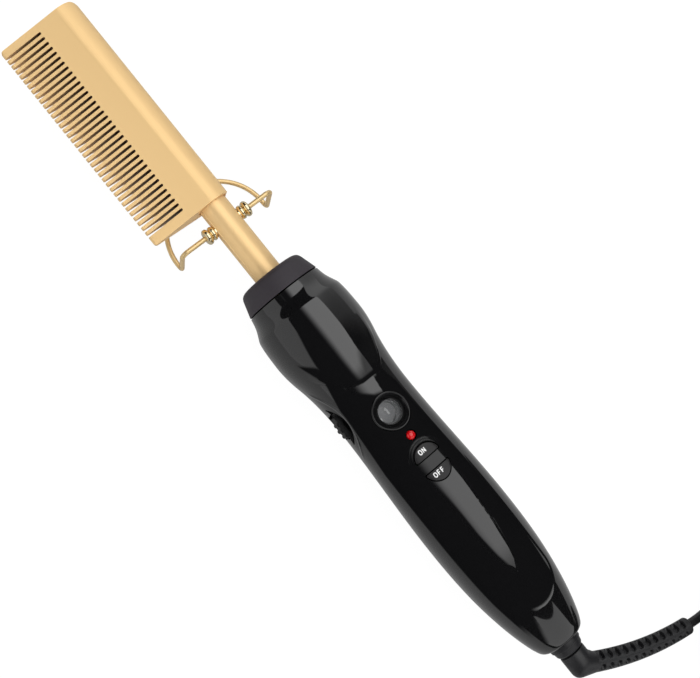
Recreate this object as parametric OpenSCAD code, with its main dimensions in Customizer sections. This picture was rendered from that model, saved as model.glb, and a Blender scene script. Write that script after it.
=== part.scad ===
// Electric hot comb: a heated comb on a steel tube, a two-shell handle with a
// thumbwheel, two buttons and a swivelling mains lead, and a fold-out wire stand.
// +X runs to the tail, +Y to the spine of the comb, +Z to the buttons. The comb
// lies with its buttons up: on its wire stand and on a small flat under the bulge.

/* [Comb] */
// Length of the comb along the handle
comb_length = 90; // [70:1:92]
// Distance from the long axis to the tips of the teeth
comb_reach = 26.4; // [22:0.2:28]
// Radius of the round spine
spine_r = 7.3; // [7.1:0.1:9]
// Thickness of the teeth at their tips
tooth_tip_t = 2; // [1.4:0.1:3]
// Number of gaps between the teeth
gap_count = 37; // [20:1:37]
// Distance from one gap to the next
gap_pitch = 2.28; // [1.8:0.02:2.3]
// Width of each gap
gap_w = 1; // [0.8:0.05:1.2]
// Depth of each gap from the tips
gap_depth = 15.6; // [10:0.2:15.8]
// Width of the solid tooth at the tip end
end_tooth = 3; // [2:0.1:4]
// Radius of the spine's corner at the tip end
comb_corner_r = 3.5; // [2:0.5:6]

/* [Tube and heater] */
// Outside diameter of the barrel tube
tube_d = 11.3; // [10:0.1:11.6]
// Wall of the barrel tube
tube_wall = 0.8; // [0.6:0.1:1.2]
// Bare length of tube between the comb and the collar
tube_bare = 33.3; // [25:0.1:45]
// Diameter of the ceramic heater
heater_d = 7.4; // [6:0.2:8]
// Length of the ceramic heater
heater_length = 66; // [50:1:70]

/* [Wire stand] */
// Diameter of the stand's wire
wire_d = 1.9; // [1.4:0.1:2]
// Distance from the comb's back edge to the stand's pivot
pivot_back = 8.6; // [8:0.1:12]
// Distance from the long axis to each leg of the stand
leg_y = 20.8; // [18:0.2:23]
// Bend radius of the wire at the pivot arms
arm_bend_r = 2.6; // [2:0.1:4]
// Bend radius of the wire at the feet
foot_bend_r = 2; // [1.6:0.1:3]
// Diameter of the outer disc of each pivot boss
boss_d = 6.3; // [5:0.1:8]
// Height of each pivot boss from the tube
boss_h = 4.65; // [4:0.05:6]

/* [Handle] */
// Radius of the handle at the bulge
bulge_r = 19.25; // [18.8:0.05:20]
// Radius of the handle at the waist
waist_r = 15.9; // [15.6:0.05:16.6]
// Radius of the handle at the grip
grip_r = 17.68; // [17:0.02:18.2]
// Radius at the crease in front of the bulge
crease_r = 18.3; // [17.4:0.05:18.5]
// Distance from the bulge to the waist
waist_x = 33; // [32:0.5:36]
// Distance from the bulge to the widest place of the grip
grip_x = 88.5; // [84:0.5:92]
// Distance from the bulge to the end of the housing
tail_x = 144; // [140:0.2:150]
// Wall of the two shells
shell_wall = 2; // [1.6:0.1:2.2]
// Depth of the small flat that the bulge rests on
rest_cut = 0.65; // [0.4:0.05:0.8]

/* [Collar] */
// Length of the heat collar
collar_length = 9.1; // [7:0.1:11]
// Radius of the heat collar at its back edge
collar_back_r = 15.5; // [15:0.05:16]
// Radius of the heat collar at its front edge
collar_front_r = 13; // [12.8:0.1:14.4]

/* [Dial and thumbwheel] */
// Radius of the thumbwheel
wheel_r = 13.4; // [12.8:0.1:13.6]
// Thickness of the thumbwheel's rim
wheel_t = 6.4; // [5:0.1:6.4]
// How far the rim stands out of the handle
wheel_proud = 0.5; // [0.4:0.05:1]
// Number of ribs on the thumbwheel's rim
rib_count = 32; // [16:1:40]
// Diameter of the lens in the dial window
lens_d = 8.8; // [7:0.1:9]
// Outside diameter of the bezel round the lens
bezel_d = 14.4; // [13.4:0.1:14.6]
// Distance from the waist to the dial window, towards the tail
window_back = 4.9; // [4:0.1:6]

/* [Buttons and lamp] */
// Distance from the dial window to the indicator lamp
lamp_back = 11.1; // [10.6:0.1:12]
// Diameter of the indicator's dome
lamp_d = 4; // [3.4:0.1:4.4]
// Distance from the dial window to the middle of the button pair
buttons_back = 23.2; // [22.6:0.1:26]
// Gap between the flat edges of the two buttons
button_space = 5; // [3.6:0.1:5.4]
// Length of each button along the handle
button_l = 4.9; // [4.4:0.1:5.6]
// Width of each button across the handle
button_w = 10.5; // [9:0.1:11]
// Height of the buttons above the housing
button_proud = 0.4; // [0.2:0.05:0.8]
// Travel of each button
button_travel = 0.6; // [0.4:0.05:0.8]

/* [Cord] */
// Diameter of the mains cord
cord_d = 3.8; // [3.4:0.1:3.8]
// Length of the ribbed strain relief
relief_length = 45; // [42:0.5:46]

/* [Clearances] */
// Radial clearance of the turning fits
run_fit = 0.05; // [0.02:0.01:0.1]
// Gap between pieces that seat without touching
seat_gap = 0.3; // [0.2:0.05:0.3]
// Gap round buttons, lenses and the bezel
slip_gap = 0.2; // [0.15:0.05:0.3]

/* [Hidden] */
$fn = 64;

tube_r = tube_d / 2;
axis_z = bulge_r - rest_cut;
wire_r = wire_d / 2;

// Places along the axis. The bulge's widest place is x = 0.
collar_back_x = -19.4;
collar_front_x = collar_back_x - collar_length;
comb_back_x = collar_front_x - tube_bare;
comb_tip_x = comb_back_x - comb_length;
pivot_x = comb_back_x + pivot_back;
crease_x = -11.2;
shoulder_x = tail_x - 24;
window_x = waist_x + window_back;
lamp_x = window_x + lamp_back;
buttons_x = window_x + buttons_back;

// ---------- Outline of the handle ----------
// Stations of [place, radius, slope]; a cubic curve runs through each pair.
end_round = 2.6;
end_r = 7.6;
STATIONS = [
    [collar_back_x, collar_back_r, 0.21],
    [crease_x - 4.3, crease_r - 1.9, 0.33],
    [crease_x, crease_r, 0.44],
    [crease_x + 1.6, crease_r + 0.4, 0.14],
    [0, bulge_r, 0.02],
    [11.5, bulge_r - 1.26, -0.22],
    [19, waist_r + 0.84, -0.12],
    [waist_x, waist_r, 0],
    [grip_x, grip_r, 0],
    [shoulder_x, grip_r - 1.98, -0.155],
    [tail_x - 5.5, grip_r - 6.12, -0.32],
    [tail_x - end_round + end_round * cos(63), end_r + end_round * sin(63), -0.51]];

function cubic(a, b, t) =
    let (run = b[0] - a[0])
    [a[0] + run * t,
     (2 * pow(t, 3) - 3 * t * t + 1) * a[1] + (pow(t, 3) - 2 * t * t + t) * run * a[2]
     + (3 * t * t - 2 * pow(t, 3)) * b[1] + (pow(t, 3) - t * t) * run * b[2]];

function steps(i) = ceil((STATIONS[i + 1][0] - STATIONS[i][0]) / 3.6);

OUTLINE = concat(
    [for (i = [0 : len(STATIONS) - 2]) for (k = [0 : steps(i) - 1])
        cubic(STATIONS[i], STATIONS[i + 1], k / steps(i))],
    [for (a = [63 : -21 : 0]) [tail_x - end_round + end_round * cos(a), end_r + end_round * sin(a)]]);

// Radius of the handle at x, read off the outline
function handle_r(x) = lookup(x, OUTLINE);

module on_axis() {
    translate([0, 0, axis_z]) children();
}

module along_x(x) {
    translate([x, 0, 0]) rotate([0, 90, 0]) children();
}

// The handle's outer form, grown by a skin
module handle_form(skin) {
    along_x(0) rotate_extrude()
        polygon(concat(
            [[0, collar_back_x], [0, tail_x + min(skin, 0)]],
            [for (i = [len(OUTLINE) - 1 : -1 : 0])
                [OUTLINE[i][1] + skin,
                 i == len(OUTLINE) - 1 ? tail_x + min(skin, 0) : OUTLINE[i][0]]]));
}

// A disc or ring along the axis from x0 to x1
module ring_x(x0, x1, r_out, r_in) {
    along_x(x0) difference() {
        cylinder(r = r_out, h = x1 - x0);
        translate([0, 0, -1]) cylinder(r = r_in, h = x1 - x0 + 2);
    }
}

module rod_x(x0, x1, r) {
    along_x(x0) cylinder(r = r, h = x1 - x0);
}

// ---------- Comb ----------
bore_depth = 16;
heater_gap = 0.2;
heater_r = heater_d / 2;
tube_front_x = comb_back_x - bore_depth;
heater_back_x = tube_front_x - 1;
heater_front_x = heater_back_x - heater_length;
face_angle = asin((spine_r - tooth_tip_t / 2) / (comb_reach - tooth_tip_t / 2));

// The flat faces that run from the spine's circle to the tip's, set a hair inside both
module comb_web() {
    tip_r = tooth_tip_t / 2;
    tip_y = tip_r - comb_reach;
    in_spine = spine_r - 0.05;
    in_tip = tip_r - 0.02;
    nx = cos(face_angle);
    ny = -sin(face_angle);
    polygon([[nx * in_spine, ny * in_spine], [nx * in_tip, tip_y + ny * in_tip],
        [-nx * in_tip, tip_y + ny * in_tip], [-nx * in_spine, ny * in_spine]]);
}

// Teardrop bar: a round spine, a rounded tip and the faces between
module comb_bar() {
    rod_x(comb_tip_x, comb_back_x, spine_r);
    translate([0, tooth_tip_t / 2 - comb_reach, 0]) rod_x(comb_tip_x, comb_back_x, tooth_tip_t / 2);
    along_x(comb_tip_x) linear_extrude(comb_length) comb_web();
}

// Side outline of the comb, with its rounded corners
module comb_outline() {
    small_r = 1.2;
    difference() {
        translate([comb_tip_x, -comb_reach - 1]) square([comb_length, comb_reach + spine_r + 2]);
        translate([comb_tip_x, spine_r]) corner_cut(comb_corner_r, 1, -1);
        translate([comb_back_x, spine_r]) corner_cut(small_r, -1, -1);
        translate([comb_tip_x, -comb_reach]) corner_cut(small_r, 1, 1);
        translate([comb_back_x, -comb_reach]) corner_cut(small_r, -1, 1);
    }
}

// The piece that rounds a corner off: sx and sy point into the solid
module corner_cut(r, sx, sy) {
    difference() {
        translate([sx > 0 ? -1 : -r, sy > 0 ? -2 : -r]) square([r + 1, r + 2]);
        translate([sx * r, sy * r]) circle(r = r);
    }
}

module comb_gaps() {
    first_x = comb_tip_x + end_tooth + gap_w / 2;
    root_y = -comb_reach + gap_depth - gap_w / 2;
    for (i = [0 : gap_count - 1])
        translate([first_x + i * gap_pitch, 0, 0]) {
            translate([-gap_w / 2, -comb_reach - 2, -spine_r])
                cube([gap_w, root_y + comb_reach + 2, 2 * spine_r]);
            translate([0, root_y, -spine_r]) cylinder(d = gap_w, h = 2 * spine_r, $fn = 24);
        }
}

module comb_plate() {
    mouth_r = tube_r + 0.45;
    color([0.93, 0.77, 0.52]) on_axis() difference() {
        intersection() {
            comb_bar();
            translate([0, 0, -spine_r - 1]) linear_extrude(2 * spine_r + 2) comb_outline();
        }
        comb_gaps();
        rod_x(tube_front_x, comb_back_x + 1, tube_r + run_fit);
        rod_x(comb_back_x - 1.2, comb_back_x + 1, mouth_r);
        rod_x(heater_front_x - heater_gap, tube_front_x + 1, heater_r + heater_gap);
    }
}

// ---------- Barrel tube ----------
tube_back_x = 12;
flange_x = 2;
flange_t = 1.6;
flange_r = tube_r + 1.9;
boss_stem_r = 1.9;

module barrel_tube() {
    color([0.93, 0.77, 0.52]) on_axis() difference() {
        union() {
            rod_x(tube_front_x, tube_back_x, tube_r);
            rod_x(flange_x, flange_x + flange_t, flange_r);
        }
        rod_x(tube_front_x - 1, tube_back_x + 1, tube_r - tube_wall);
        translate([pivot_x, 0, 0]) rotate([90, 0, 0])
            cylinder(r = boss_stem_r + run_fit, h = 4 * tube_r, center = true);
    }
}

// ---------- Heater, sensor and their leads ----------
lead_y = 2.2;
lead_r = 0.7;
sensor_z = 2.6;
fuse_x = 3;
fuse_l = 9;
fuse_r = 1.9;
leads_out_x = fuse_x + fuse_l;

module heater_rod() {
    color([0.9, 0.88, 0.84]) on_axis() rod_x(heater_front_x, heater_back_x, heater_r);
}

module heater_leads() {
    color([0.85, 0.82, 0.7]) on_axis() {
        translate([0, lead_y, 0]) rod_x(heater_back_x, fuse_x, lead_r);
        translate([0, lead_y, 0]) lead_to_board(leads_out_x, lead_r);
        translate([0, -lead_y, 0]) rod_x(heater_back_x, leads_out_x, lead_r);
        translate([0, -lead_y, 0]) lead_to_board(leads_out_x, lead_r);
    }
}

// A lead that runs back from x0 and bends down to the board
module lead_to_board(x0, r) {
    bend = 3;
    rod_x(x0, x0 + 1, r);
    translate([x0 + 1, 0, -bend]) rotate([90, 0, 0])
        rotate_extrude(angle = 90) translate([bend, 0]) circle(r = r, $fn = 24);
    translate([x0 + 1 + bend, 0, board_top]) cylinder(r = r, h = -bend - board_top, $fn = 24);
}

module thermistor() {
    color([0.75, 0.35, 0.2]) on_axis() translate([0, 0, sensor_z])
        rod_x(heater_back_x + 0.3, heater_back_x + 4.3, 1);
}

module sensor_leads() {
    color([0.9, 0.9, 0.9]) on_axis() for (s = [-1, 1])
        translate([0, s * 0.6, sensor_z]) lead_from_sensor();
}

module lead_from_sensor() {
    bend = 2.5;
    x0 = heater_back_x + 4.3;
    x1 = 13.5;
    rod_x(x0, x1, 0.4);
    translate([x1, 0, -bend]) rotate([90, 0, 0])
        rotate_extrude(angle = 90) translate([bend, 0]) circle(r = 0.4, $fn = 24);
    translate([x1 + bend, 0, board_top - sensor_z])
        cylinder(r = 0.4, h = sensor_z - bend - board_top, $fn = 24);
}

module thermal_fuse() {
    color([0.85, 0.8, 0.65]) on_axis() translate([0, lead_y, 0]) {
        rod_x(fuse_x, fuse_x + fuse_l, fuse_r);
    }
}

// ---------- Wire stand ----------
boss_face_y = tube_r + boss_h;
hole_floor_y = tube_r + 0.6;

module stand_bosses() {
    color([0.9, 0.75, 0.4]) on_axis() for (side = [-1, 1])
        translate([pivot_x, 0, 0]) rotate([-90 * side, 0, 0]) boss();
}

// One turned boss: stem, neck, groove, disc and the blind hole for the wire
module boss() {
    neck_r = 2.2;
    groove_r = 1.9;
    rotate_extrude() polygon([[0, tube_r - tube_wall], [boss_stem_r, tube_r - tube_wall],
        [boss_stem_r, tube_r + 0.15], [neck_r, tube_r + 0.15], [neck_r, boss_face_y - 2.1],
        [groove_r, boss_face_y - 2.1], [groove_r, boss_face_y - 1.9],
        [boss_d / 2 - 0.25, boss_face_y - 1.9], [boss_d / 2, boss_face_y - 1.65],
        [boss_d / 2, boss_face_y - 0.25], [boss_d / 2 - 0.25, boss_face_y],
        [wire_r + run_fit, boss_face_y], [wire_r + run_fit, hole_floor_y], [0, hole_floor_y]]);
}

// The wire's path: two arms in the bosses, two legs, two foot bends and one bow,
// and the legs lean back by a few degrees. A leg ends leg_l from the pivot's line.
wire_z = wire_r - axis_z;
leg_lean = 5;
leg_l = -(wire_z + foot_bend_r * (1 + sin(leg_lean))) / cos(leg_lean);
foot_x = leg_l * sin(leg_lean) - foot_bend_r * cos(leg_lean);

module stand_wire() {
    color([0.85, 0.66, 0.36]) on_axis() translate([pivot_x, 0, 0]) {
        for (side = [-1, 1]) stand_side(side);
        translate([foot_x, 0, wire_z]) rotate([0, 0, 90])
            rotate_extrude(angle = 180) translate([leg_y, 0]) circle(r = wire_r);
    }
}

// One arm with its bend, the leg and the bend of its foot. The leg is a hair thicker than
// the bends and reaches a little into both, so they join as exact solids.
leg_extra_r = 0.02;
leg_reach = 0.05;

module stand_side(side) {
    arm_end = leg_y - arm_bend_r;
    arm_start = hole_floor_y + seat_gap;
    arm_a = side > 0 ? 0 : 90;
    rotate([0, -leg_lean, 0]) {
        translate([0, side > 0 ? arm_start : -arm_end, 0]) rotate([-90, 0, 0])
            cylinder(r = wire_r, h = arm_end - arm_start);
        translate([0, side * arm_end, -arm_bend_r]) rotate([90, 0, 90]) rotate([0, 0, arm_a])
            rotate_extrude(angle = 90) translate([arm_bend_r, 0]) circle(r = wire_r);
        translate([0, side * leg_y, -leg_l - leg_reach])
            cylinder(r = wire_r + leg_extra_r, h = leg_l - arm_bend_r + 2 * leg_reach);
    }
    translate([foot_x, side * leg_y, wire_z + foot_bend_r]) rotate([90, 0, 0])
        rotate([0, 0, -90]) rotate_extrude(angle = 90 + leg_lean)
        translate([foot_bend_r, 0]) circle(r = wire_r);
}

// ---------- Collar and washer ----------
nose_r = 12;
nose_l = 5;
nose_wall = 1.8;
nose_x = collar_back_x - nose_l;
groove_w = 0.5;

module heat_collar() {
    front_round = 3;
    back_x = collar_back_x - groove_w;
    color([0.24, 0.22, 0.25]) on_axis() difference() {
        along_x(0) rotate_extrude() polygon(concat(
            [[tube_r + seat_gap, collar_front_x]],
            [for (a = [90 : -15 : 15]) [collar_front_r - front_round + front_round * cos(a),
                collar_front_x + front_round - front_round * sin(a)]],
            [[collar_front_r + 0.1, collar_front_x + front_round],
             [collar_back_r - 0.25, back_x - 0.25], [collar_back_r - 0.5, back_x],
             [tube_r + seat_gap, back_x]]));
        rod_x(nose_x - seat_gap, collar_back_x, nose_r + run_fit);
    }
}

module heat_washer() {
    color([0.82, 0.76, 0.6]) on_axis()
        ring_x(nose_x, nose_x + 1.2, nose_r - nose_wall - run_fit, tube_r + run_fit);
}

// ---------- Shells ----------
RIBS_X = [nose_x + 1.5, flange_x - 1.8, flange_x + flange_t + 0.2];
rib_t = 1.6;
SCREWS = [[-6, 11.6], [-6, -11.6], [110, 7.4], [110, -7.4]];
screw_r = 1.3;
screw_l = 12.4;
screw_head_r = 2.5;
screw_head_h = 1.8;
screw_seat_z = -6;
boss_out_r = 3.4;
board_top = -7;
board_t = 1.6;
board_x0 = 15;
board_x1 = 99;
board_half = 9.4;
POSTS = [[18.5, 6.4], [18.5, -6.4], [95.5, 6.4], [95.5, -6.4]];

// Swivel at the tail, turned a little about the handle's axis so that the cord comes down
swivel_droop = 11;
neck_lip_r = 7;
neck_hole_r = 5.8;
stem_r = 3.5;
lip_x0 = tail_x - 4.2;
lip_x1 = tail_x - 2.3;

module shell_space() {
    along_x(0) rotate_extrude() polygon(concat(
        [[0, nose_x - 1], [0, tail_x - shell_wall],
         [end_r, tail_x - shell_wall]],
        [for (i = [len(OUTLINE) - 4 : -1 : 1]) [OUTLINE[i][1] - shell_wall, OUTLINE[i][0]]],
        [[nose_r - nose_wall, collar_back_x], [nose_r - nose_wall, nose_x - 1]]));
}

// Everything that both shells share before they are split at mid height
module shell_body() {
    difference() {
        union() {
            difference() {
                union() {
                    handle_form(0);
                    rod_x(nose_x, collar_back_x + 1, nose_r);
                }
                shell_space();
            }
            intersection() {
                union() {
                    for (x = RIBS_X) rod_x(x, x + rib_t, bulge_r);
                    ring_x(tail_x - 13, tail_x - 11.4, grip_r, 4);
                }
                union() {
                    handle_form(-shell_wall / 2);
                    rod_x(nose_x, collar_back_x + 1, nose_r - nose_wall / 2);
                }
            }
        }
        rod_x(nose_x - 1, tube_back_x, tube_r + run_fit);
        rod_x(tail_x - 4, tail_x + 1, neck_hole_r + run_fit);
        wheel_slot();
    }
}

slot_half = 8.6;
slot_top = 7;
slot_low = 4.2;
slot_x = waist_x - 0.6;
wheel_x = waist_x;
wheel_y = -(handle_r(wheel_x) + wheel_proud - wheel_r);

// The arched opening on the side, and the room inside the wall for the rim
module wheel_slot() {
    arch_r = (slot_half * slot_half + slot_top * slot_top) / (2 * slot_top);
    intersection() {
        translate([slot_x, 0, slot_top - arch_r]) rotate([90, 0, 0])
            cylinder(r = arch_r, h = 2 * bulge_r);
        translate([slot_x - bulge_r, -2 * bulge_r, -slot_low])
            cube([2 * bulge_r, 2 * bulge_r, slot_low + slot_top + 1]);
    }
    translate([wheel_x, wheel_y, -wheel_t / 2 - 2 * seat_gap])
        cylinder(r = wheel_r + 0.5, h = wheel_t + 4 * seat_gap);
}

module half_space(up) {
    big = 2 * bulge_r;
    translate([nose_x - 1, -big, up ? 0 : -big]) cube([tail_x - nose_x + 4, 2 * big, big]);
}

// Outline of the recessed panel on the front: straight sides and a round end
panel_half = 11.8;
panel_start_x = grip_x - 14;
panel_end_x = tail_x - 18;
panel_skin = 0.35;
tongue_half = 4.7;
tongue_tip_x = grip_x + 22;

module panel_outline() {
    round_x = panel_end_x - panel_half;
    difference() {
        union() {
            translate([panel_start_x, -panel_half])
                square([round_x - panel_start_x, 2 * panel_half]);
            translate([round_x, 0]) circle(r = panel_half);
        }
        tongue_outline();
    }
}

module tongue_outline() {
    polygon([[buttons_x - 8.4, tongue_half - 1.2], [buttons_x - 7, tongue_half],
        [buttons_x + 10, tongue_half], [buttons_x + 28, tongue_half * 0.6],
        [tongue_tip_x - 2, 0.7], [tongue_tip_x, 0], [tongue_tip_x - 2, -0.7],
        [buttons_x + 28, -tongue_half * 0.6], [buttons_x + 10, -tongue_half],
        [buttons_x - 7, -tongue_half], [buttons_x - 8.4, -tongue_half + 1.2]]);
}

module front_shell() {
    color([0.07, 0.07, 0.07]) on_axis() difference() {
        union() {
            intersection() {
                shell_body();
                half_space(true);
            }
            for (s = SCREWS) intersection() {
                translate([s[0], s[1], 0]) cylinder(r = boss_out_r, h = bulge_r);
                handle_form(-shell_wall / 2);
            }
        }
        for (s = SCREWS) translate([s[0], s[1], -1]) cylinder(r = screw_r + run_fit, h = 8.6);
        difference() {
            translate([0, 0, 5]) linear_extrude(bulge_r) panel_outline();
            handle_form(-panel_skin);
        }
        translate([window_x, 0, 0]) cylinder(d = bezel_d + 2 * slip_gap, h = 2 * bulge_r);
        translate([lamp_x, 0, 0]) cylinder(d = lamp_d + 2 * slip_gap, h = 2 * bulge_r);
        for (toward = [-1, 1])
            linear_extrude(2 * bulge_r) button_outline(toward, slip_gap);
    }
}

module back_shell() {
    color([0.07, 0.07, 0.07]) on_axis() difference() {
        union() {
            intersection() {
                shell_body();
                half_space(false);
            }
            for (s = SCREWS) intersection() {
                translate([s[0], s[1], -bulge_r]) cylinder(r = boss_out_r, h = bulge_r);
                handle_form(-shell_wall / 2);
            }
            for (p = POSTS) intersection() {
                translate([p[0], p[1], -bulge_r])
                    cylinder(r = 2.4, h = bulge_r + board_top - board_t);
                handle_form(-shell_wall / 2);
            }
        }
        for (s = SCREWS) translate([s[0], s[1], -2 * bulge_r]) {
            cylinder(r = screw_r + 0.2, h = 3 * bulge_r);
            cylinder(r = screw_head_r + 0.2, h = 2 * bulge_r + screw_seat_z);
        }
        for (p = POSTS) translate([p[0], p[1], board_top - board_t - 3])
            cylinder(r = 0.9, h = 4);
        translate([-bulge_r, -bulge_r, -2 * bulge_r - axis_z])
            cube([2 * bulge_r, 2 * bulge_r, 2 * bulge_r]);
    }
}

module housing_screws() {
    color([0.7, 0.7, 0.72]) on_axis() for (s = SCREWS) translate([s[0], s[1], screw_seat_z])
        screw(screw_r, screw_l, screw_head_r, screw_head_h);
}

// A screw with its head below z = 0 and a cross recess in it
module screw(r, l, head_r, head_h) {
    difference() {
        union() {
            cylinder(r = r, h = l);
            translate([0, 0, -head_h]) cylinder(r = head_r, h = head_h);
        }
        for (a = [0, 90]) rotate([0, 0, a])
            translate([-head_r * 0.6, -0.3, -head_h - 1]) cube([head_r * 1.2, 0.6, 1.9]);
    }
}

// ---------- Dial window ----------
dial_z = 5.2;
dial_t = 1;
dial_r = 9.8;
lens_top = waist_r - 2.2;
lens_t = 2.8;
bezel_slope = 2.4;

module window_bezel() {
    color([0.12, 0.12, 0.12]) on_axis() difference() {
        intersection() {
            translate([window_x, 0, dial_z + 2 * seat_gap]) cylinder(d = bezel_d, h = bulge_r);
            handle_form(-0.25);
        }
        translate([window_x, 0, 0]) cylinder(d = lens_d - 0.6, h = 2 * bulge_r);
        translate([window_x, 0, lens_top - lens_t]) cylinder(d = lens_d + 2 * run_fit, h = bulge_r);
        translate([window_x, 0, waist_r - 0.2 - bezel_slope])
            cylinder(r1 = lens_d / 2 + 0.9, r2 = bezel_d / 2 - 0.5, h = bezel_slope + 0.02);
        translate([window_x, 0, waist_r - 0.2]) cylinder(d = bezel_d - 1, h = 5);
    }
}

module window_lens() {
    dome_h = 0.9;
    lens_r = lens_d / 2;
    dome_r = (lens_r * lens_r + dome_h * dome_h) / (2 * dome_h);
    color([0.8, 0.85, 0.88, 0.4]) on_axis() translate([window_x, 0, 0]) intersection() {
        translate([0, 0, lens_top - lens_t]) cylinder(r = lens_r, h = waist_r);
        translate([0, 0, lens_top - dome_r]) sphere(r = dome_r);
    }
}

// ---------- Thumbwheel and potentiometer ----------
hub_r = 3.6;
pot_r = 1.5;
pot_top = -wheel_t / 2 - seat_gap;

module temperature_wheel() {
    color([0.1, 0.1, 0.1]) on_axis() translate([wheel_x, wheel_y, 0]) difference() {
        union() {
            translate([0, 0, -wheel_t / 2]) cylinder(r = wheel_r - 0.45, h = wheel_t);
            for (i = [0 : rib_count - 1]) rotate([0, 0, i * 360 / rib_count])
                translate([wheel_r - 0.75, 0, -wheel_t / 2])
                cylinder(r = 0.75, h = wheel_t, $fn = 16);
            cylinder(r = hub_r, h = dial_z - dial_t / 2);
            translate([0, 0, dial_z - dial_t]) cylinder(r = dial_r, h = dial_t);
        }
        translate([0, 0, -wheel_t]) cylinder(r = pot_r + run_fit, h = wheel_t + 4);
        translate([0, 0, 1.2]) difference() {
            cylinder(r = wheel_r - 2.4, h = wheel_t);
            translate([0, 0, -1]) cylinder(r = hub_r, h = wheel_t + 2);
            translate([0, 0, dial_z - dial_t - 1.2]) cylinder(r = dial_r, h = 9);
        }
    }
}

module potentiometer() {
    color([0.2, 0.35, 0.55]) on_axis() translate([wheel_x, wheel_y, 0]) {
        translate([-4.8, -4.8, board_top]) cube([9.6, 9.6, pot_top - board_top]);
        translate([0, 0, pot_top - 0.5]) cylinder(r = pot_r, h = 4.2 + wheel_t / 2);
    }
}

// ---------- Lamp ----------
led_r = 1.5;
led_top = board_top + 5;

module indicator_lens() {
    surface_z = handle_r(lamp_x);
    lens_r = lamp_d / 2;
    color([0.8, 0.05, 0.08]) on_axis() translate([lamp_x, 0, 0]) {
        intersection() {
            translate([0, 0, surface_z - 3.4]) cylinder(r = lens_r, h = 6);
            translate([0, 0, surface_z - 1.5]) sphere(r = lens_r + 0.1);
        }
        translate([0, 0, surface_z - 3.4]) cylinder(r = lens_r, h = 2);
        translate([0, 0, surface_z - 4]) cylinder(r = lens_r + 0.9, h = 0.8);
        translate([0, 0, led_top + seat_gap]) cylinder(r = 1.3, h = surface_z - 4 - led_top);
    }
}

module indicator_led() {
    color([0.85, 0.2, 0.2]) on_axis() translate([lamp_x, 0, board_top]) {
        cylinder(r = led_r + 0.3, h = 1);
        cylinder(r = led_r, h = 5 - led_r);
        translate([0, 0, 5 - led_r]) sphere(r = led_r);
    }
}

// ---------- Buttons ----------
switch_h = 3.4;
plunger_top = board_top + 4.4;
cap_low = 11.2;
stem_low = plunger_top + button_travel + 0.1;

// A half-round outline: its flat edge faces the other button
module button_outline(toward, grow) {
    flat_x = buttons_x + toward * button_space / 2;
    r = button_w / 2;
    translate([flat_x, 0]) intersection() {
        translate([toward * (button_l - r), 0]) circle(r = r + grow);
        translate([toward > 0 ? -grow : -button_l - grow, -r - grow])
            square([button_l + 2 * grow, 2 * (r + grow)]);
    }
}

module button(toward) {
    stem_x = buttons_x + toward * (button_space + button_l) / 2;
    intersection() {
        translate([0, 0, cap_low + 1]) linear_extrude(bulge_r) button_outline(toward, 0);
        handle_form(button_proud);
    }
    translate([0, 0, cap_low]) linear_extrude(1.1) button_outline(toward, 0.7);
    translate([stem_x, 0, stem_low]) cylinder(r = 1.5, h = cap_low + 0.3 - stem_low);
}

module on_button() {
    color([0.24, 0.23, 0.23]) on_axis() button(-1);
}

module off_button() {
    color([0.24, 0.23, 0.23]) on_axis() button(1);
}

// ---------- Board and what stands on it ----------
module tact_switches() {
    color([0.75, 0.75, 0.75]) on_axis() for (toward = [-1, 1])
        translate([buttons_x + toward * (button_space + button_l) / 2, 0, board_top]) {
            translate([-3, -3, 0]) cube([6, 6, switch_h]);
            cylinder(r = 1.7, h = plunger_top - board_top);
        }
}

module control_board() {
    color([0.1, 0.35, 0.2]) on_axis() difference() {
        translate([board_x0, -board_half, board_top - board_t])
            cube([board_x1 - board_x0, 2 * board_half, board_t]);
        for (p = POSTS) translate([p[0], p[1], board_top - board_t - 1])
            cylinder(r = 1.2, h = board_t + 2);
    }
}

module board_screws() {
    color([0.75, 0.75, 0.77]) on_axis() for (p = POSTS)
        translate([p[0], p[1], board_top]) rotate([180, 0, 0]) screw(0.85, 4.2, 1.7, 1.1);
}

film_cap_x = board_x1 - 17;
film_cap = [7, 11, 10];
round_cap_x = board_x1 - 27;
round_cap_y = -4;
round_cap_r = 3.2;
round_cap_l = 8;
triac_x = board_x1 - 28.4;
triac_y = 2.4;
triac_body = [9, 6.6, 2.6];
triac_tab = [1.9, 5.6, 1.2];

module capacitor() {
    color([0.55, 0.4, 0.15]) on_axis() {
        translate([film_cap_x, -film_cap[1] / 2, board_top]) cube(film_cap);
        translate([round_cap_x, round_cap_y, board_top + round_cap_r]) rotate([0, 90, 0])
            cylinder(r = round_cap_r, h = round_cap_l);
    }
}

module triac() {
    color([0.15, 0.15, 0.17]) on_axis() {
        translate([triac_x, triac_y, board_top]) cube(triac_body);
        translate([triac_x + triac_body[0], triac_y + 0.5, board_top]) cube(triac_tab);
    }
}

// ---------- Swivel ----------
contacts_x = tail_x - 16.5;
mains_y = 2.6;
stem_head_x = tail_x - 8.6;
neck_out_x = tail_x + 5.2;
elbow_x = tail_x + 5.8;

module swivel_contacts() {
    color([0.6, 0.58, 0.5]) on_axis() {
        ring_x(contacts_x, contacts_x + 3.2, 6.5, 1.5);
        for (s = [-1, 1]) translate([0, s * mains_y, 0])
            rod_x(contacts_x - 2, contacts_x + 0.5, 0.9);
    }
}

module mains_leads() {
    color([0.55, 0.1, 0.1]) on_axis() for (s = [-1, 1])
        translate([0, s * mains_y, 0]) lead_back();
}

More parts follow.
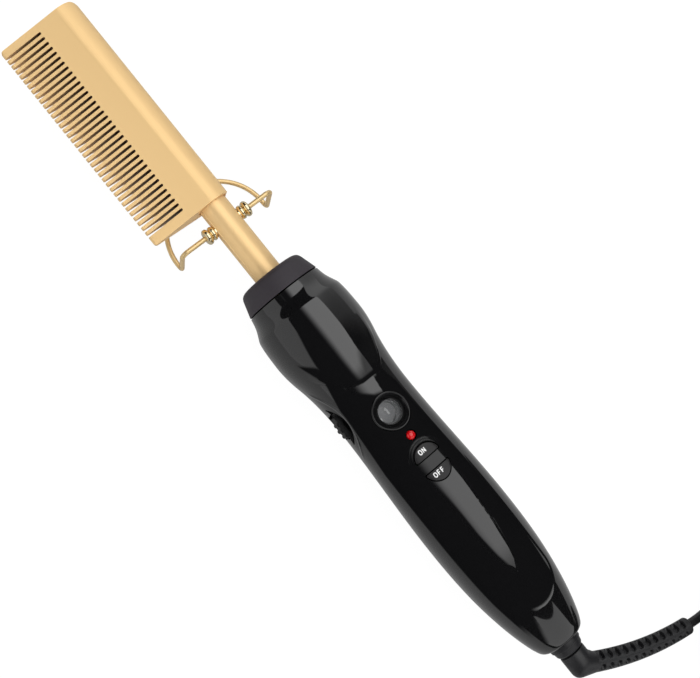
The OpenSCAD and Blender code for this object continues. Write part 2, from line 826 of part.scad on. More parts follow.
// A lead that comes up from the board, bends and runs back to the contacts
module lead_back() {
    bend = 4;
    x0 = board_x1 - 8;
    translate([x0, 0, board_top]) cylinder(r = 0.9, h = -bend - board_top, $fn = 24);
    translate([x0 + bend, 0, -bend]) rotate([90, 0, 0]) rotate([0, 0, 90])
        rotate_extrude(angle = 90) translate([bend, 0]) circle(r = 0.9, $fn = 24);
    rod_x(x0 + bend, contacts_x - 2, 0.9);
}

module neck_ring() {
    color([0.1, 0.1, 0.1]) on_axis() along_x(0) rotate_extrude()
        polygon([[stem_r + run_fit, lip_x0], [neck_lip_r, lip_x0], [neck_lip_r, lip_x1],
            [neck_hole_r, lip_x1], [neck_hole_r, tail_x + 0.3], [6.5, tail_x + 0.3],
            [6.3, tail_x + 2.4], [5.9, tail_x + 2.6], [5.5, neck_out_x - 0.6],
            [5.1, neck_out_x], [stem_r + run_fit, neck_out_x]]);
}

elbow_r = 5.1;
elbow_run = 6.1;
elbow_turn = 57;
elbow_taper = 5.4;
relief_turn = 18.6;
relief_R = relief_length / (relief_turn * PI / 180);
relief_r0 = 3.9;
relief_r1 = 3.4;
relief_ribs = 12;

module swivel_place() {
    on_axis() rotate([-swivel_droop, 0, 0]) children();
}

// Goes to the mitre of the elbow: local +X is the way the cord runs from there
module past_mitre() {
    translate([elbow_x + elbow_run, 0, 0]) rotate([0, 0, elbow_turn]) children();
}

// The half of space before the mitre, or the half behind it
module mitre_side(before) {
    big = 4 * elbow_r;
    translate([elbow_x + elbow_run, 0, 0]) rotate([0, 0, elbow_turn / 2])
        translate([before ? -big : 0, -big, -big]) cube([big, 2 * big, 2 * big]);
}

module swivel_elbow() {
    color([0.13, 0.13, 0.13]) swivel_place() {
        rod_x(stem_head_x, stem_head_x + 2, 5);
        rod_x(stem_head_x, elbow_x + 1, stem_r);
        rod_x(elbow_x - 0.3, elbow_x + 1, 4.1);
        intersection() {
            along_x(elbow_x) rotate_extrude() polygon([[0, 0], [elbow_r - 0.5, 0],
                [elbow_r, 0.5], [elbow_r, elbow_run + elbow_r], [0, elbow_run + elbow_r]]);
            mitre_side(true);
            past_mitre() cylinder(r = elbow_r + 1.1, h = 4 * elbow_r, center = true);
        }
        intersection() {
            past_mitre() along_x(-elbow_r) cylinder(r1 = elbow_r + 0.9, r2 = relief_r0,
                h = elbow_r + elbow_taper);
            mitre_side(false);
            past_mitre() cylinder(r = elbow_r + 1.1, h = 4 * elbow_r, center = true);
        }
    }
}

// Turns by a along the relief's arc from the elbow's end
module relief_at(a) {
    translate([0, relief_R, 0]) rotate([0, 0, a]) translate([0, -relief_R, 0]) children();
}

module strain_relief() {
    core_r = 2.5;
    rib_pitch = relief_turn / (relief_ribs + 0.75);
    color([0.13, 0.13, 0.13]) swivel_place() past_mitre() translate([elbow_taper, 0, 0]) {
        translate([0, relief_R, 0]) rotate([0, 0, -90]) rotate_extrude(angle = relief_turn) {
            translate([relief_R, 0]) circle(r = core_r);
            translate([relief_R - 1.1, -relief_r1]) square([2.2, 2 * relief_r1]);
        }
        for (i = [0 : relief_ribs]) relief_at(i * rib_pitch) {
            r = relief_r0 + (relief_r1 - relief_r0) * i / relief_ribs;
            rod_x(0, i == relief_ribs ? 0.75 * rib_pitch * relief_R * PI / 180 : 1.9, r);
        }
    }
}

// ---------- Free cord ----------
// Where the relief ends, and the way it points, worked out from its arc
function turn_z(p, a) = [p[0] * cos(a) - p[1] * sin(a), p[0] * sin(a) + p[1] * cos(a), p[2]];
function turn_x(p, a) = [p[0], p[1] * cos(a) - p[2] * sin(a), p[1] * sin(a) + p[2] * cos(a)];
relief_tip = turn_z([relief_R * sin(relief_turn) + elbow_taper,
    relief_R * (1 - cos(relief_turn)), 0], elbow_turn)
    + [elbow_x + elbow_run, 0, 0];
exit_point = turn_x(relief_tip, -swivel_droop) + [0, 0, axis_z];
exit_way = turn_x(turn_z([1, 0, 0], elbow_turn + relief_turn), -swivel_droop);

// The coil lies on the table past the elbow: four layers of three turns
coil_x = 210;
coil_y = 70;
coil_r_in = 16;
coil_pitch = 4.3;
layer_turns = 3;
coil_turns = 11.8;
coil_start_a = 180;
cord_r = cord_d / 2;
coil_sides = 6;
rings_per_turn = 24;

// Distance in turns to the nearest place where the spiral starts or reverses
function fold_part(t) = let (k = floor(t / layer_turns), w = t - k * layer_turns)
    (k % 2 == 0) ? layer_turns - w : w;
// Layers climbed so far: each climb takes half a turn round a reversal
function climb(t, k) = let (w = min(1, max(0, (t - k * layer_turns + 0.25) / 0.5)))
    w * w * (3 - 2 * w);
function coil_point(t) =
    let (r = coil_r_in + coil_pitch * fold_part(t), a = coil_start_a - 360 * t,
        z = cord_r + coil_pitch * (climb(t, 1) + climb(t, 2) + climb(t, 3)))
    [coil_x + r * cos(a), coil_y + r * sin(a), z];

function unit(v) = v / norm(v);

// The wound turns, and the same with an end of one cord diameter that runs straight at each side
TURNS = [for (i = [0 : round(coil_turns * rings_per_turn)]) coil_point(i / rings_per_turn)];
turns_end = TURNS[len(TURNS) - 1];
coil_out = unit(turns_end - TURNS[len(TURNS) - 2]);
coil_start = TURNS[0] - [0, cord_d, 0];
coil_end = turns_end + coil_out * cord_d;
COIL = concat([coil_start], TURNS, [coil_end]);

// A smooth bend from p, leaving along d, to q, arriving along e, in n steps without its last point
function bend(p, d, q, e, n) =
    let (reach = 0.39 * norm(q - p), a = p + reach * unit(d), b = q - reach * unit(e))
    [for (k = [0 : n - 1]) let (t = k / n)
        pow(1 - t, 3) * p + 3 * pow(1 - t, 2) * t * a + 3 * (1 - t) * t * t * b + pow(t, 3) * q];

// Route of the lead: from the relief down to the start of the coil
LEAD = concat(bend(exit_point, exit_way, coil_start, [0, 1, 0], 16), [coil_start]);

// A closed tube swept along points; its rings stand square to the path
module tube_along(p, r, sides) {
    last = len(p) - 1;
    ways = [for (i = [0 : last]) unit(p[min(i + 1, last)] - p[max(i - 1, 0)])];
    rings = [for (i = [0 : last]) let (side = unit(cross(ways[i], [0, 0, 1])),
        up = cross(side, ways[i]))
        for (k = [0 : sides - 1]) let (a = (k + 0.5) * 360 / sides)
            p[i] + r * (cos(a) * side + sin(a) * up)];
    polyhedron(rings, concat(
        [[for (k = [0 : sides - 1]) k]],
        [for (i = [0 : last - 1]) for (k = [0 : sides - 1]) let (a = i * sides + k,
            b = i * sides + (k + 1) % sides) each [[a, a + sides, b], [b, a + sides, b + sides]]],
        [[for (k = [sides - 1 : -1 : 0]) last * sides + k]]));
}

// The tail: from the coil's end up over its top and into the plug
plug_x = coil_x - 6;
plug_y = coil_y + 9;
plug_z = cord_r * 2 + 3 * coil_pitch + 6.6;
tail_crest = [coil_x - 27, coil_y - 8, 20];
crest_way = [0.1, 1, 0.18];
TAIL = concat(bend(coil_end, coil_out, tail_crest, crest_way, 10),
    bend(tail_crest, crest_way, [plug_x, plug_y, plug_z], [1, 0, 0], 12),
    [[plug_x, plug_y, plug_z]]);

// Least gap between the coil's own turns, over places more than 0.6 of a turn apart
function turn_gap(i) = min([for (j = [i + 15 : 3 : len(COIL) - 1]) norm(COIL[i] - COIL[j])]) - cord_d;
coil_gap = min([for (i = [1 : 3 : len(COIL) - 16]) turn_gap(i)]);
echo(coil_gap = coil_gap, coil_gap_is_enough = coil_gap > 0.4);  // cord_coil

module power_cord() {
    color([0.05, 0.05, 0.05]) tube_along(LEAD, cord_r, 8);
}

module cord_coil() {
    color([0.05, 0.05, 0.05]) tube_along(COIL, cord_r, coil_sides);
}

module cord_tail() {
    color([0.05, 0.05, 0.05]) tube_along(TAIL, cord_r, 8);
}

// A flat tie round the bundle of turns, on the far side
module cord_tie() {
    in_r = coil_r_in - cord_r - 0.5;
    out_r = coil_r_in + layer_turns * coil_pitch + cord_r + 0.5;
    top_z = 2 * cord_r + 3 * coil_pitch + 0.3;
    color([0.2, 0.2, 0.2]) translate([coil_x, coil_y, 0]) rotate([0, 0, -60]) difference() {
        translate([in_r - 0.8, -3, 0.01]) cube([out_r - in_r + 1.6, 6, top_z + 0.8]);
        translate([in_r, -4, -1]) cube([out_r - in_r, 8, top_z + 1]);
    }
}

// ---------- Plug ----------
plug_relief_l = 9;
plug_l = 22;

module plug_body() {
    color([0.06, 0.06, 0.06]) translate([plug_x, plug_y, plug_z]) {
        along_x(0) cylinder(r1 = 3, r2 = 4.2, h = plug_relief_l + 0.5);
        intersection() {
            translate([plug_relief_l, 0, -6.3]) linear_extrude(12.6)
                polygon([[0, -4.4], [3, -6.4], [8, -8.6], [plug_l - 5, -11.6], [plug_l, -11.6],
                    [plug_l, 11.6], [plug_l - 5, 11.6], [8, 8.6], [3, 6.4], [0, 4.4]]);
            translate([plug_relief_l, 12, 0]) rotate([90, 0, 0]) linear_extrude(24)
                polygon([[0, -4.4], [4, -5.4], [plug_l - 6, -6.3], [plug_l - 0.8, -6.3],
                    [plug_l, -5.5], [plug_l, 5.5], [plug_l - 0.8, 6.3], [plug_l - 6, 6.3],
                    [4, 5.4], [0, 4.4]]);
        }
    }
}

blade_l = 16;
blade_w = 6.35;
blade_t = 1.5;
blade_space = 12.7;

module plug_blades() {
    color([0.8, 0.75, 0.6]) translate([plug_x + plug_relief_l + plug_l, plug_y, plug_z])
        for (s = [-1, 1]) translate([0, s * blade_space / 2 - blade_t / 2, -blade_w / 2])
            difference() {
                cube([blade_l, blade_t, blade_w]);
                translate([blade_l - 4, -1, blade_w / 2]) rotate([-90, 0, 0])
                    cylinder(d = 3, h = blade_t + 2);
                for (e = [-1, 1]) translate([blade_l, -1, blade_w / 2 + e * blade_w / 2])
                    rotate([0, 45, 0]) cube([1.6, blade_t * 2 + 4, 1.6], center = true);
            }
}

comb_plate();
barrel_tube();
heater_rod();
heater_leads();
thermistor();
sensor_leads();
thermal_fuse();
stand_bosses();
stand_wire();
heat_collar();
heat_washer();
front_shell();
back_shell();
housing_screws();
window_bezel();
window_lens();
temperature_wheel();
potentiometer();
indicator_lens();
indicator_led();
on_button();
off_button();
tact_switches();
control_board();
board_screws();
capacitor();
triac();
mains_leads();
swivel_contacts();
neck_ring();
swivel_elbow();
strain_relief();
power_cord();
cord_coil();
cord_tail();
cord_tie();
plug_body();
plug_blades();
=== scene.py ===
"""An electric hot comb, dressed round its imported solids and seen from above, with its buttons up."""
import math
import bmesh
import bpy
import numpy as np
from mathutils import Matrix


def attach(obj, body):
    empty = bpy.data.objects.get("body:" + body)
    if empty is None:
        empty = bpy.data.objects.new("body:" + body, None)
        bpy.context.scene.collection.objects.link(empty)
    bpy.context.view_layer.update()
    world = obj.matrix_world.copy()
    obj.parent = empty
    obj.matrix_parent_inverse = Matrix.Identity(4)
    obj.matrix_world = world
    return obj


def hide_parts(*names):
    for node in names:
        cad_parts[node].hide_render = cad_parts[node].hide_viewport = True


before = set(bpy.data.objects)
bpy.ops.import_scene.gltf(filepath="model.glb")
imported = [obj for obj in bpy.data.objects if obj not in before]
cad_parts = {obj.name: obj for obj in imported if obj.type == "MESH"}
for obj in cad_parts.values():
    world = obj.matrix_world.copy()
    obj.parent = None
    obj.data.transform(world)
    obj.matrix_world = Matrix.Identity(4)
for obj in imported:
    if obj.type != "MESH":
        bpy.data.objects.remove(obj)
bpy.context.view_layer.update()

# ---------------------------------------------------------------- Camera
# The tool lies with its buttons up and is photographed from 15 degrees off straight down.
# Its long axis runs at 51 degrees across the picture, comb to the upper left.
MM = 0.001
AXIS_Z = 18.6 * MM                      # height of the handle's long axis
PICTURE_W = 700                         # the photograph's width in pixels
FOCAL_PX = 1150
CAMERA_FAR = 425 * MM                   # from the axis to the lens
CAMERA_LEAN = math.radians(15)          # away from straight down, towards the teeth
AXIS_TURN = math.radians(51.2)          # of the long axis below the picture's horizontal
CAMERA_MIDDLE = np.array([9 * MM, 0, AXIS_Z])
CAMERA_SHIFT = (6.51 * MM, 5.58 * MM)   # of the lens from that point, across and up the picture

lean_cos, lean_sin = math.cos(CAMERA_LEAN), math.sin(CAMERA_LEAN)
turn_cos, turn_sin = math.cos(AXIS_TURN), math.sin(AXIS_TURN)
picture_right = np.array([turn_cos, turn_sin * lean_cos, turn_sin * lean_sin])
picture_up = np.array([-turn_sin, turn_cos * lean_cos, turn_cos * lean_sin])
to_camera = np.array([0, -lean_sin, lean_cos])
camera_data = bpy.data.cameras.new("camera")
camera_data.sensor_width = 36
camera_data.lens = FOCAL_PX / PICTURE_W * camera_data.sensor_width
camera_data.clip_start, camera_data.clip_end = 0.01, 20


def put(name, data):
    """A new object in the scene."""
    made = bpy.data.objects.new(name, data)
    bpy.context.scene.collection.objects.link(made)
    return made


camera = put("camera", camera_data)
camera_spot = (CAMERA_MIDDLE + CAMERA_SHIFT[0] * picture_right + CAMERA_SHIFT[1] * picture_up
               + CAMERA_FAR * to_camera)
camera.matrix_world = Matrix([
    [picture_right[i], picture_up[i], to_camera[i], camera_spot[i]] for i in range(3)] + [[0, 0, 0, 1]])
bpy.context.scene.camera = camera
bpy.context.scene.view_settings.view_transform = "Standard"

# ---------------------------------------------------------------- Mains cord
# A round PVC jacket with two fine grooves along it. It comes out of the relief, falls to the
# table in one bend and is wound away as a coil of four layers, with the plug on top.
CORD_R = 1.9 * MM
COIL_AT = np.array([210, 70]) * MM
COIL_R_IN = 16 * MM
COIL_STEP = 4.3 * MM
LAYER_TURNS = 3
COIL_TURNS = 11.8
RINGS_PER_TURN = 48
LEAD_EXIT = np.array([176.85, 44.72, 9.91]) * MM
LEAD_WAY = np.array([0.249, 0.951, -0.185])
TAIL_CREST = np.array([183, 62, 20]) * MM
CREST_WAY = np.array([0.1, 1, 0.18])
PLUG_AT = np.array([204, 79, 23.3]) * MM


def unit(v):
    """Each vector divided by its length."""
    return v / np.linalg.norm(v, axis=-1, keepdims=True)


def bend(p, d, q, e, n):
    """Points of the cubic from p, leaving along d, to q, arriving along e, without q."""
    reach = 0.39 * np.linalg.norm(q - p)
    t = (np.arange(n) / n)[:, None]
    a, b = p + reach * unit(d), q - reach * unit(e)
    return (1 - t) ** 3 * p + 3 * (1 - t) ** 2 * t * a + 3 * (1 - t) * t * t * b + t ** 3 * q


def wound():
    """The turns: the radius swings in and out by one cord a turn, and each swing is a layer."""
    t = np.arange(round(COIL_TURNS * RINGS_PER_TURN) + 1) / RINGS_PER_TURN
    layer = np.floor(t / LAYER_TURNS)
    part = t - layer * LAYER_TURNS
    r = COIL_R_IN + COIL_STEP * np.where(layer % 2 == 0, LAYER_TURNS - part, part)
    a = math.pi - 2 * math.pi * t
    z = np.full_like(t, CORD_R)
    for k in (1, 2, 3):
        w = np.clip((t - k * LAYER_TURNS + 0.25) / 0.5, 0, 1)
        z = z + COIL_STEP * w * w * (3 - 2 * w)
    return np.column_stack([COIL_AT[0] + r * np.cos(a), COIL_AT[1] + r * np.sin(a), z])


turns = wound()
coil_out = unit(turns[-1] - turns[-2])
coil_start = turns[0] - [0, 2 * CORD_R, 0]
coil_end = turns[-1] + coil_out * 2 * CORD_R
cord_path = np.concatenate([
    bend(LEAD_EXIT, LEAD_WAY, coil_start, np.array([0, 1, 0]), 30), [coil_start], turns,
    bend(coil_end, coil_out, TAIL_CREST, CREST_WAY, 24),
    bend(TAIL_CREST, CREST_WAY, PLUG_AT, np.array([1, 0, 0]), 24), [PLUG_AT]])


def sweep(path, outline, across=(0, 0, 1)):
    """Rings of an outline carried along a path. A ring's first way is the path's way crossed
    with `across`, and its second is square to both."""
    path, outline = np.asarray(path, float), np.asarray(outline, float)
    way = unit(np.gradient(path, axis=0))
    side = unit(np.cross(way, np.asarray(across, float)))
    up = np.cross(side, way)
    if outline.ndim == 2:
        outline = np.broadcast_to(outline, (len(path),) + outline.shape)
    return (path[:, None] + outline[:, :, :1] * side[:, None] + outline[:, :, 1:] * up[:, None])


def skin(name, grid, caps=True, wrap=True):
    """A mesh over a grid of points: rows along it, columns round it. Both ends close on the mean
    of their ring, doubled points are merged, and faces point outwards."""
    rows, cols = grid.shape[:2]
    i, j = np.meshgrid(np.arange(rows - 1), np.arange(cols if wrap else cols - 1), indexing="ij")
    k = (j + 1) % cols
    quads = np.stack([i * cols + j, i * cols + k, (i + 1) * cols + k, (i + 1) * cols + j], -1)
    points, faces = grid.reshape(-1, 3), quads.reshape(-1, 4).tolist()
    if caps:
        points = np.concatenate([points, [grid[0].mean(0), grid[-1].mean(0)]])
        j = np.arange(cols)
        k, last, first = (j + 1) % cols, (rows - 1) * cols, rows * cols
        faces += np.column_stack([k, j, np.full(cols, first)]).tolist()
        faces += np.column_stack([last + j, last + k, np.full(cols, first + 1)]).tolist()
    mesh = bpy.data.meshes.new(name)
    mesh.from_pydata(points.tolist(), [], faces)
    return tidy(mesh)


def tidy(mesh, gap=1e-7):
    """Merges doubled points, drops faces without area and turns the rest outwards."""
    work = bmesh.new()
    work.from_mesh(mesh)
    bmesh.ops.remove_doubles(work, verts=work.verts, dist=gap)
    bmesh.ops.dissolve_degenerate(work, edges=work.edges, dist=gap)
    bmesh.ops.recalc_face_normals(work, faces=work.faces)
    work.to_mesh(mesh)
    work.free()
    return mesh


def place(name, mesh, body, slot, material, *nodes, sharp=35, width=0, steps=2):
    """Puts a mesh in the scene on its body, with its material and smooth shading up to the
    sharp angle, and rounds its edges by a width in millimetres where one is given."""
    piece = put(name, mesh)
    mesh.materials.clear()
    mesh.materials.append(material)
    mesh.shade_smooth()
    mesh.set_sharp_from_angle(angle=math.radians(sharp))
    if width:
        rounding = piece.modifiers.new("edges", "BEVEL")
        rounding.width, rounding.segments = width * MM, steps
        rounding.limit_method, rounding.angle_limit = "ANGLE", math.radians(sharp)
        rounding.harden_normals = True
    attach(piece, body)
    if nodes:
        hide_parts(*nodes)
    return piece


def linear(colour):
    """A display colour of 0 to 255 as the shader's own numbers."""
    c = np.asarray(colour, float) / 255
    return [*np.where(c <= 0.04045, c / 12.92, ((c + 0.055) / 1.055) ** 2.4), 1.0]


def feed(tree, socket, value):
    """Gives a node's input a value or another node's output."""
    if isinstance(value, bpy.types.NodeSocket):
        tree.links.new(value, socket)
    else:
        socket.default_value = value


def add(tree, kind, inputs=(), **settings):
    """A new shader node with its settings and what its inputs take."""
    node = tree.nodes.new("ShaderNode" + kind)
    for name, value in settings.items():
        setattr(node, name, value)
    for key, value in dict(inputs).items():
        feed(tree, node.inputs[key], value)
    return node


def new_material(name):
    """A material with its node tree and its plain shader."""
    made = bpy.data.materials.new(name)
    made.use_nodes = True
    return made, made.node_tree, made.node_tree.nodes["Principled BSDF"]


def finish(name, colour, rough, metal=0.0, coat=0.0, size=0.6, spread=0.06, uneven=0.05, bump=0.02,
           shine=0.5):
    """A material whose colour and roughness wander a little with a fine noise on the piece, and
    whose surface has that noise as a low relief. `size` is the grain in millimetres and `shine`
    the strength of the plain reflection."""
    made, tree, shader = new_material(name)
    grain = add(tree, "TexNoise", {"Vector": add(tree, "TexCoord").outputs["Object"],
                                   "Scale": 1 / (size * MM), "Detail": 3}).outputs["Fac"]
    base = np.array(linear(colour)[:3])
    tint = add(tree, "Mix", {"Factor": grain, 6: [*(base * (1 - spread)), 1],
                             7: [*np.minimum(base * (1 + spread), 1), 1]}, data_type="RGBA")
    gloss = add(tree, "MapRange", {"Value": grain, "To Min": max(rough - uneven, 0.02),
                                   "To Max": rough + uneven})
    relief = add(tree, "Bump", {"Height": grain, "Strength": 1, "Distance": bump * MM})
    for key, value in (("Metallic", metal), ("Coat Weight", coat), ("Specular IOR Level", shine),
                       ("Base Color", tint.outputs[2]), ("Roughness", gloss.outputs["Result"]),
                       ("Normal", relief.outputs["Normal"])):
        feed(tree, shader.inputs[key], value)
    return made


def by_attribute(material, attribute, *inputs):
    """Takes each (input, low, high) of a material's shader from a piece's own attribute."""
    tree = material.node_tree
    share = add(tree, "Attribute", attribute_name=attribute)
    for name, low, high in inputs:
        level = add(tree, "MapRange", {"Value": share.outputs["Fac"], "To Min": low, "To Max": high})
        feed(tree, tree.nodes["Principled BSDF"].inputs[name], level.outputs["Result"])


jacket = finish("cord_jacket", (26, 26, 27), 0.25, size=1.2, spread=0.15, uneven=0.06, bump=0.01)
around = np.linspace(0, 2 * math.pi, 24, endpoint=False)
groove = 1 - 0.13 * np.exp(-(np.angle(np.exp(1j * (2 * around - 1.0))) / 0.55) ** 2)
jacket_outline = np.column_stack([np.cos(around), np.sin(around)]) * (CORD_R * groove)[:, None]
mains_cord = place("mains_cord", skin("mains_cord", sweep(cord_path, jacket_outline)), "cord_swivel",
                   "cord_black", jacket, "power_cord", "cord_coil", "cord_tail")

# ---------------------------------------------------------------- Table and light
# A white table in a dark studio. One large soft box hangs over the tool. A panel stands at its
# teeth, one at its spine by the comb, and one beyond the tail. Wide dim panels fill the rest.
TABLE_HALF = 3.0
PLAIN_WHITE = 1.06                      # makes up for the lit share, which is darker
GLOSS_WHITE = 0.38                      # of the table's white in reflections


def white_where_seen(tree, lit, own_share):
    """Mixes a lit shader with plain white, which the camera, gloss and glass see by own_share."""
    ray = add(tree, "LightPath").outputs
    seen = add(tree, "Math", {0: ray["Is Camera Ray"], 1: ray["Is Glossy Ray"]}, operation="MAXIMUM")
    also = add(tree, "Math", {0: seen.outputs[0], 1: ray["Is Transmission Ray"]}, operation="MAXIMUM")
    share = add(tree, "Math", {0: also.outputs[0], 1: own_share}, operation="MULTIPLY")
    strength = add(tree, "MapRange", {"Value": ray["Is Camera Ray"], "To Min": GLOSS_WHITE,
                                      "To Max": PLAIN_WHITE})
    plain = add(tree, "Emission", {"Color": (1, 1, 1, 1), "Strength": strength.outputs["Result"]})
    return add(tree, "MixShader", {"Fac": share.outputs[0], 1: lit, 2: plain.outputs[0]}).outputs[0]


table_top, table_tree, table_shader = new_material("table_top")
table_shader.inputs["Base Color"].default_value = (0.9, 0.9, 0.9, 1)
table_shader.inputs["Roughness"].default_value = 0.9
table_shader.inputs["Specular IOR Level"].default_value = 0.1
feed(table_tree, table_tree.nodes["Material Output"].inputs["Surface"],
     white_where_seen(table_tree, table_shader.outputs[0], 0.9))
table_mesh = bpy.data.meshes.new("table")
table_mesh.from_pydata([(-TABLE_HALF, -TABLE_HALF, 0), (TABLE_HALF, -TABLE_HALF, 0),
                        (TABLE_HALF, TABLE_HALF, 0), (-TABLE_HALF, TABLE_HALF, 0)], [], [(0, 1, 2, 3)])
table_mesh.materials.append(table_top)
put("table", table_mesh)

world = bpy.data.worlds.new("studio")
world.use_nodes = True
bpy.context.scene.world = world
studio = world.node_tree
WALL_LIGHT = 0.22
CEILING_LIGHT = 0.12
height = add(studio, "SeparateXYZ", {0: add(studio, "TexCoord").outputs["Generated"]})
fade = add(studio, "MapRange", {"Value": height.outputs["Z"], "From Min": 0.12, "From Max": 0.30,
                                "To Min": WALL_LIGHT, "To Max": CEILING_LIGHT})
sky = studio.nodes["Background"]
feed(studio, sky.inputs["Strength"], fade.outputs[0])
plain_sky = add(studio, "Background", {"Strength": 1})
sky_mix = add(studio, "MixShader", {"Fac": add(studio, "LightPath").outputs["Is Camera Ray"],
                                    1: sky.outputs[0], 2: plain_sky.outputs[0]})
feed(studio, studio.nodes["World Output"].inputs["Surface"], sky_mix.outputs[0])


def soft_box(name, corners, glow, fade=0.0):
    """A glowing panel over four corners in metres. Its glow rises from nothing at the edge
    between the first and the last corner over a share of the way across."""
    mesh = bpy.data.meshes.new(name)
    mesh.from_pydata(corners, [], [(0, 1, 2, 3)])
    glow_uv = mesh.uv_layers.new(name="across")
    for loop, uv in zip(glow_uv.data, ((0, 0), (1, 0), (1, 1), (0, 1))):
        loop.uv = uv
    lamp, tree, shader = new_material(name)
    tree.nodes.remove(shader)
    split = add(tree, "SeparateXYZ", {0: add(tree, "UVMap", uv_map="across").outputs[0]})
    ramp = add(tree, "MapRange", {"Value": split.outputs["X"], "From Min": 0, "From Max": max(fade, 1e-3),
                                  "To Min": 0, "To Max": glow}, interpolation_type="SMOOTHSTEP")
    emit = add(tree, "Emission", {"Strength": ramp.outputs[0]})
    feed(tree, tree.nodes["Material Output"].inputs["Surface"], emit.outputs[0])
    mesh.materials.append(lamp)
    panel = put(name, mesh)
    panel.visible_camera = False
    return panel


BOX_UP = 0.92
FILL_LIGHT = 1.5                        # of large panels that only dull surfaces see
FILL_HALF = 1.5
FILL_UP = 1.3
soft_box("overhead_box", [(-0.7, -0.48, BOX_UP), (-0.7, 0.87, BOX_UP), (0.56, 0.87, BOX_UP),
                          (0.56, -0.48, BOX_UP)], 1.62, 0.42)
soft_box("tooth_side_panel", [(-0.75, -0.6, 0.66), (0.22, -0.6, 0.66), (0.22, -0.6, 0.0),
                              (-0.75, -0.6, 0.0)], 0.62)
soft_box("spine_side_panel", [(0.2, 0.45, 0.5), (-0.8, 0.45, 0.5), (-0.8, 0.45, 0.0),
                              (0.2, 0.45, 0.0)], 0.9, 0.7)
soft_box("tail_box", [(0.84, -0.7, 0.78), (0.84, 0.62, 0.78), (0.84, 0.62, 0.13),
                      (0.84, -0.7, 0.13)], 0.8, 0.15)
near, far = -FILL_HALF, FILL_HALF
for name, corners in (
        ("fill_top", [(near, near, FILL_UP), (near, far, FILL_UP), (far, far, FILL_UP),
                      (far, near, FILL_UP)]),
        ("fill_spine_side", [(near, far, 0), (far, far, 0), (far, far, FILL_UP), (near, far, FILL_UP)]),
        ("fill_tooth_side", [(near, near, 0), (far, near, 0), (far, near, FILL_UP),
                             (near, near, FILL_UP)])):
    soft_box(name, corners, FILL_LIGHT).visible_glossy = False

# ---------------------------------------------------------------- Comb plate
# One brass casting with a round spine and 38 teeth, satin gold plated. Its edges are broken by a
# small rounding. The tube, the heater and the pivots of the stand belong to its end.


def from_solid(node):
    """A copy of a node's mesh whose doubled points are merged and whose flat faces are whole."""
    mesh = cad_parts[node].data.copy()
    mesh.name = node
    mesh.transform(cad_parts[node].matrix_world)
    tidy(mesh, 2e-6)
    work = bmesh.new()
    work.from_mesh(mesh)
    bmesh.ops.dissolve_limit(work, angle_limit=math.radians(0.2), verts=work.verts, edges=work.edges,
                             delimit={"NORMAL"})
    work.to_mesh(mesh)
    work.free()
    return mesh


def between(v, low, high):
    """0 up to low, 1 from high on, and smooth between."""
    t = np.clip((v - low) / (high - low), 0, 1)
    return t * t * (3 - 2 * t)


def mark(mesh, name, values, domain="POINT"):
    """Stores a number for each point of a mesh, or for each corner of its faces."""
    stored = mesh.attributes.new(name, "FLOAT", domain)
    stored.data.foreach_set("value", np.asarray(values, np.float32))


def spots(mesh):
    """A mesh's points as rows of millimetres."""
    flat = np.empty(len(mesh.vertices) * 3)
    mesh.vertices.foreach_get("co", flat)
    return flat.reshape(-1, 3) / MM


TEETH_TIP_Y = -26.4
GAP_DEPTH = 15.6
# colour of the painted shade on the walls of the gaps between the teeth
GAP_SHADE_COLOUR = (96, 58, 30)


def mix_painted_shade(material, attribute, colour):
    """Mixes a colour of painted shade into a material's own base colour by a piece's attribute."""
    tree = material.node_tree
    base = tree.nodes["Principled BSDF"].inputs["Base Color"]
    share = add(tree, "Attribute", attribute_name=attribute)
    mix = add(tree, "Mix", {"Factor": share.outputs["Fac"], 6: base.links[0].from_socket,
                            7: linear(colour)}, data_type="RGBA")
    feed(tree, base, mix.outputs[2])


def painted_gap_shade(mesh):
    """For each corner of a face, how much painted shade it gets: the gaps' walls are painted darker towards
    their roots, where shade falls.
    """
    at = spots(mesh)
    gap_shade_share = np.zeros(len(mesh.loops), np.float32)
    for face in mesh.polygons:
        if abs(face.normal.z) < 0.5 and abs(face.normal.x) > 0.5 or face.normal.y < -0.5:
            for loop in face.loop_indices:
                deep = (at[mesh.loops[loop].vertex_index, 1] - TEETH_TIP_Y) / GAP_DEPTH
                gap_shade_share[loop] = np.clip(0.1 + 0.9 * deep, 0, 1) * (0 < deep < 1.05)
    return gap_shade_share


# The gaps' walls get painted shade in the gold, darkest at their roots.
comb_mesh = from_solid("comb_plate")
mark(comb_mesh, "gap_shade_share", painted_gap_shade(comb_mesh), "CORNER")
gold = finish("satin_gold", (249, 210, 148), 0.42, metal=0.3, size=0.25, spread=0.02, uneven=0.04,
              bump=0.003)
mix_painted_shade(gold, "gap_shade_share", GAP_SHADE_COLOUR)
place("comb", comb_mesh, "handle", "comb_gold", gold, "comb_plate", width=0.14)

# ---------------------------------------------------------------- Barrel tube
# A drawn brass tube, plated like the comb. It is pushed into the comb's spine and its flange is
# held between the shells' ribs.
tube_gold = finish("tube_gold", (250, 212, 152), 0.4, metal=0.4, size=0.5, spread=0.02, uneven=0.03,
                   bump=0.002)
place("tube", from_solid("barrel_tube"), "handle", "tube_gold", tube_gold, "barrel_tube", width=0.1)

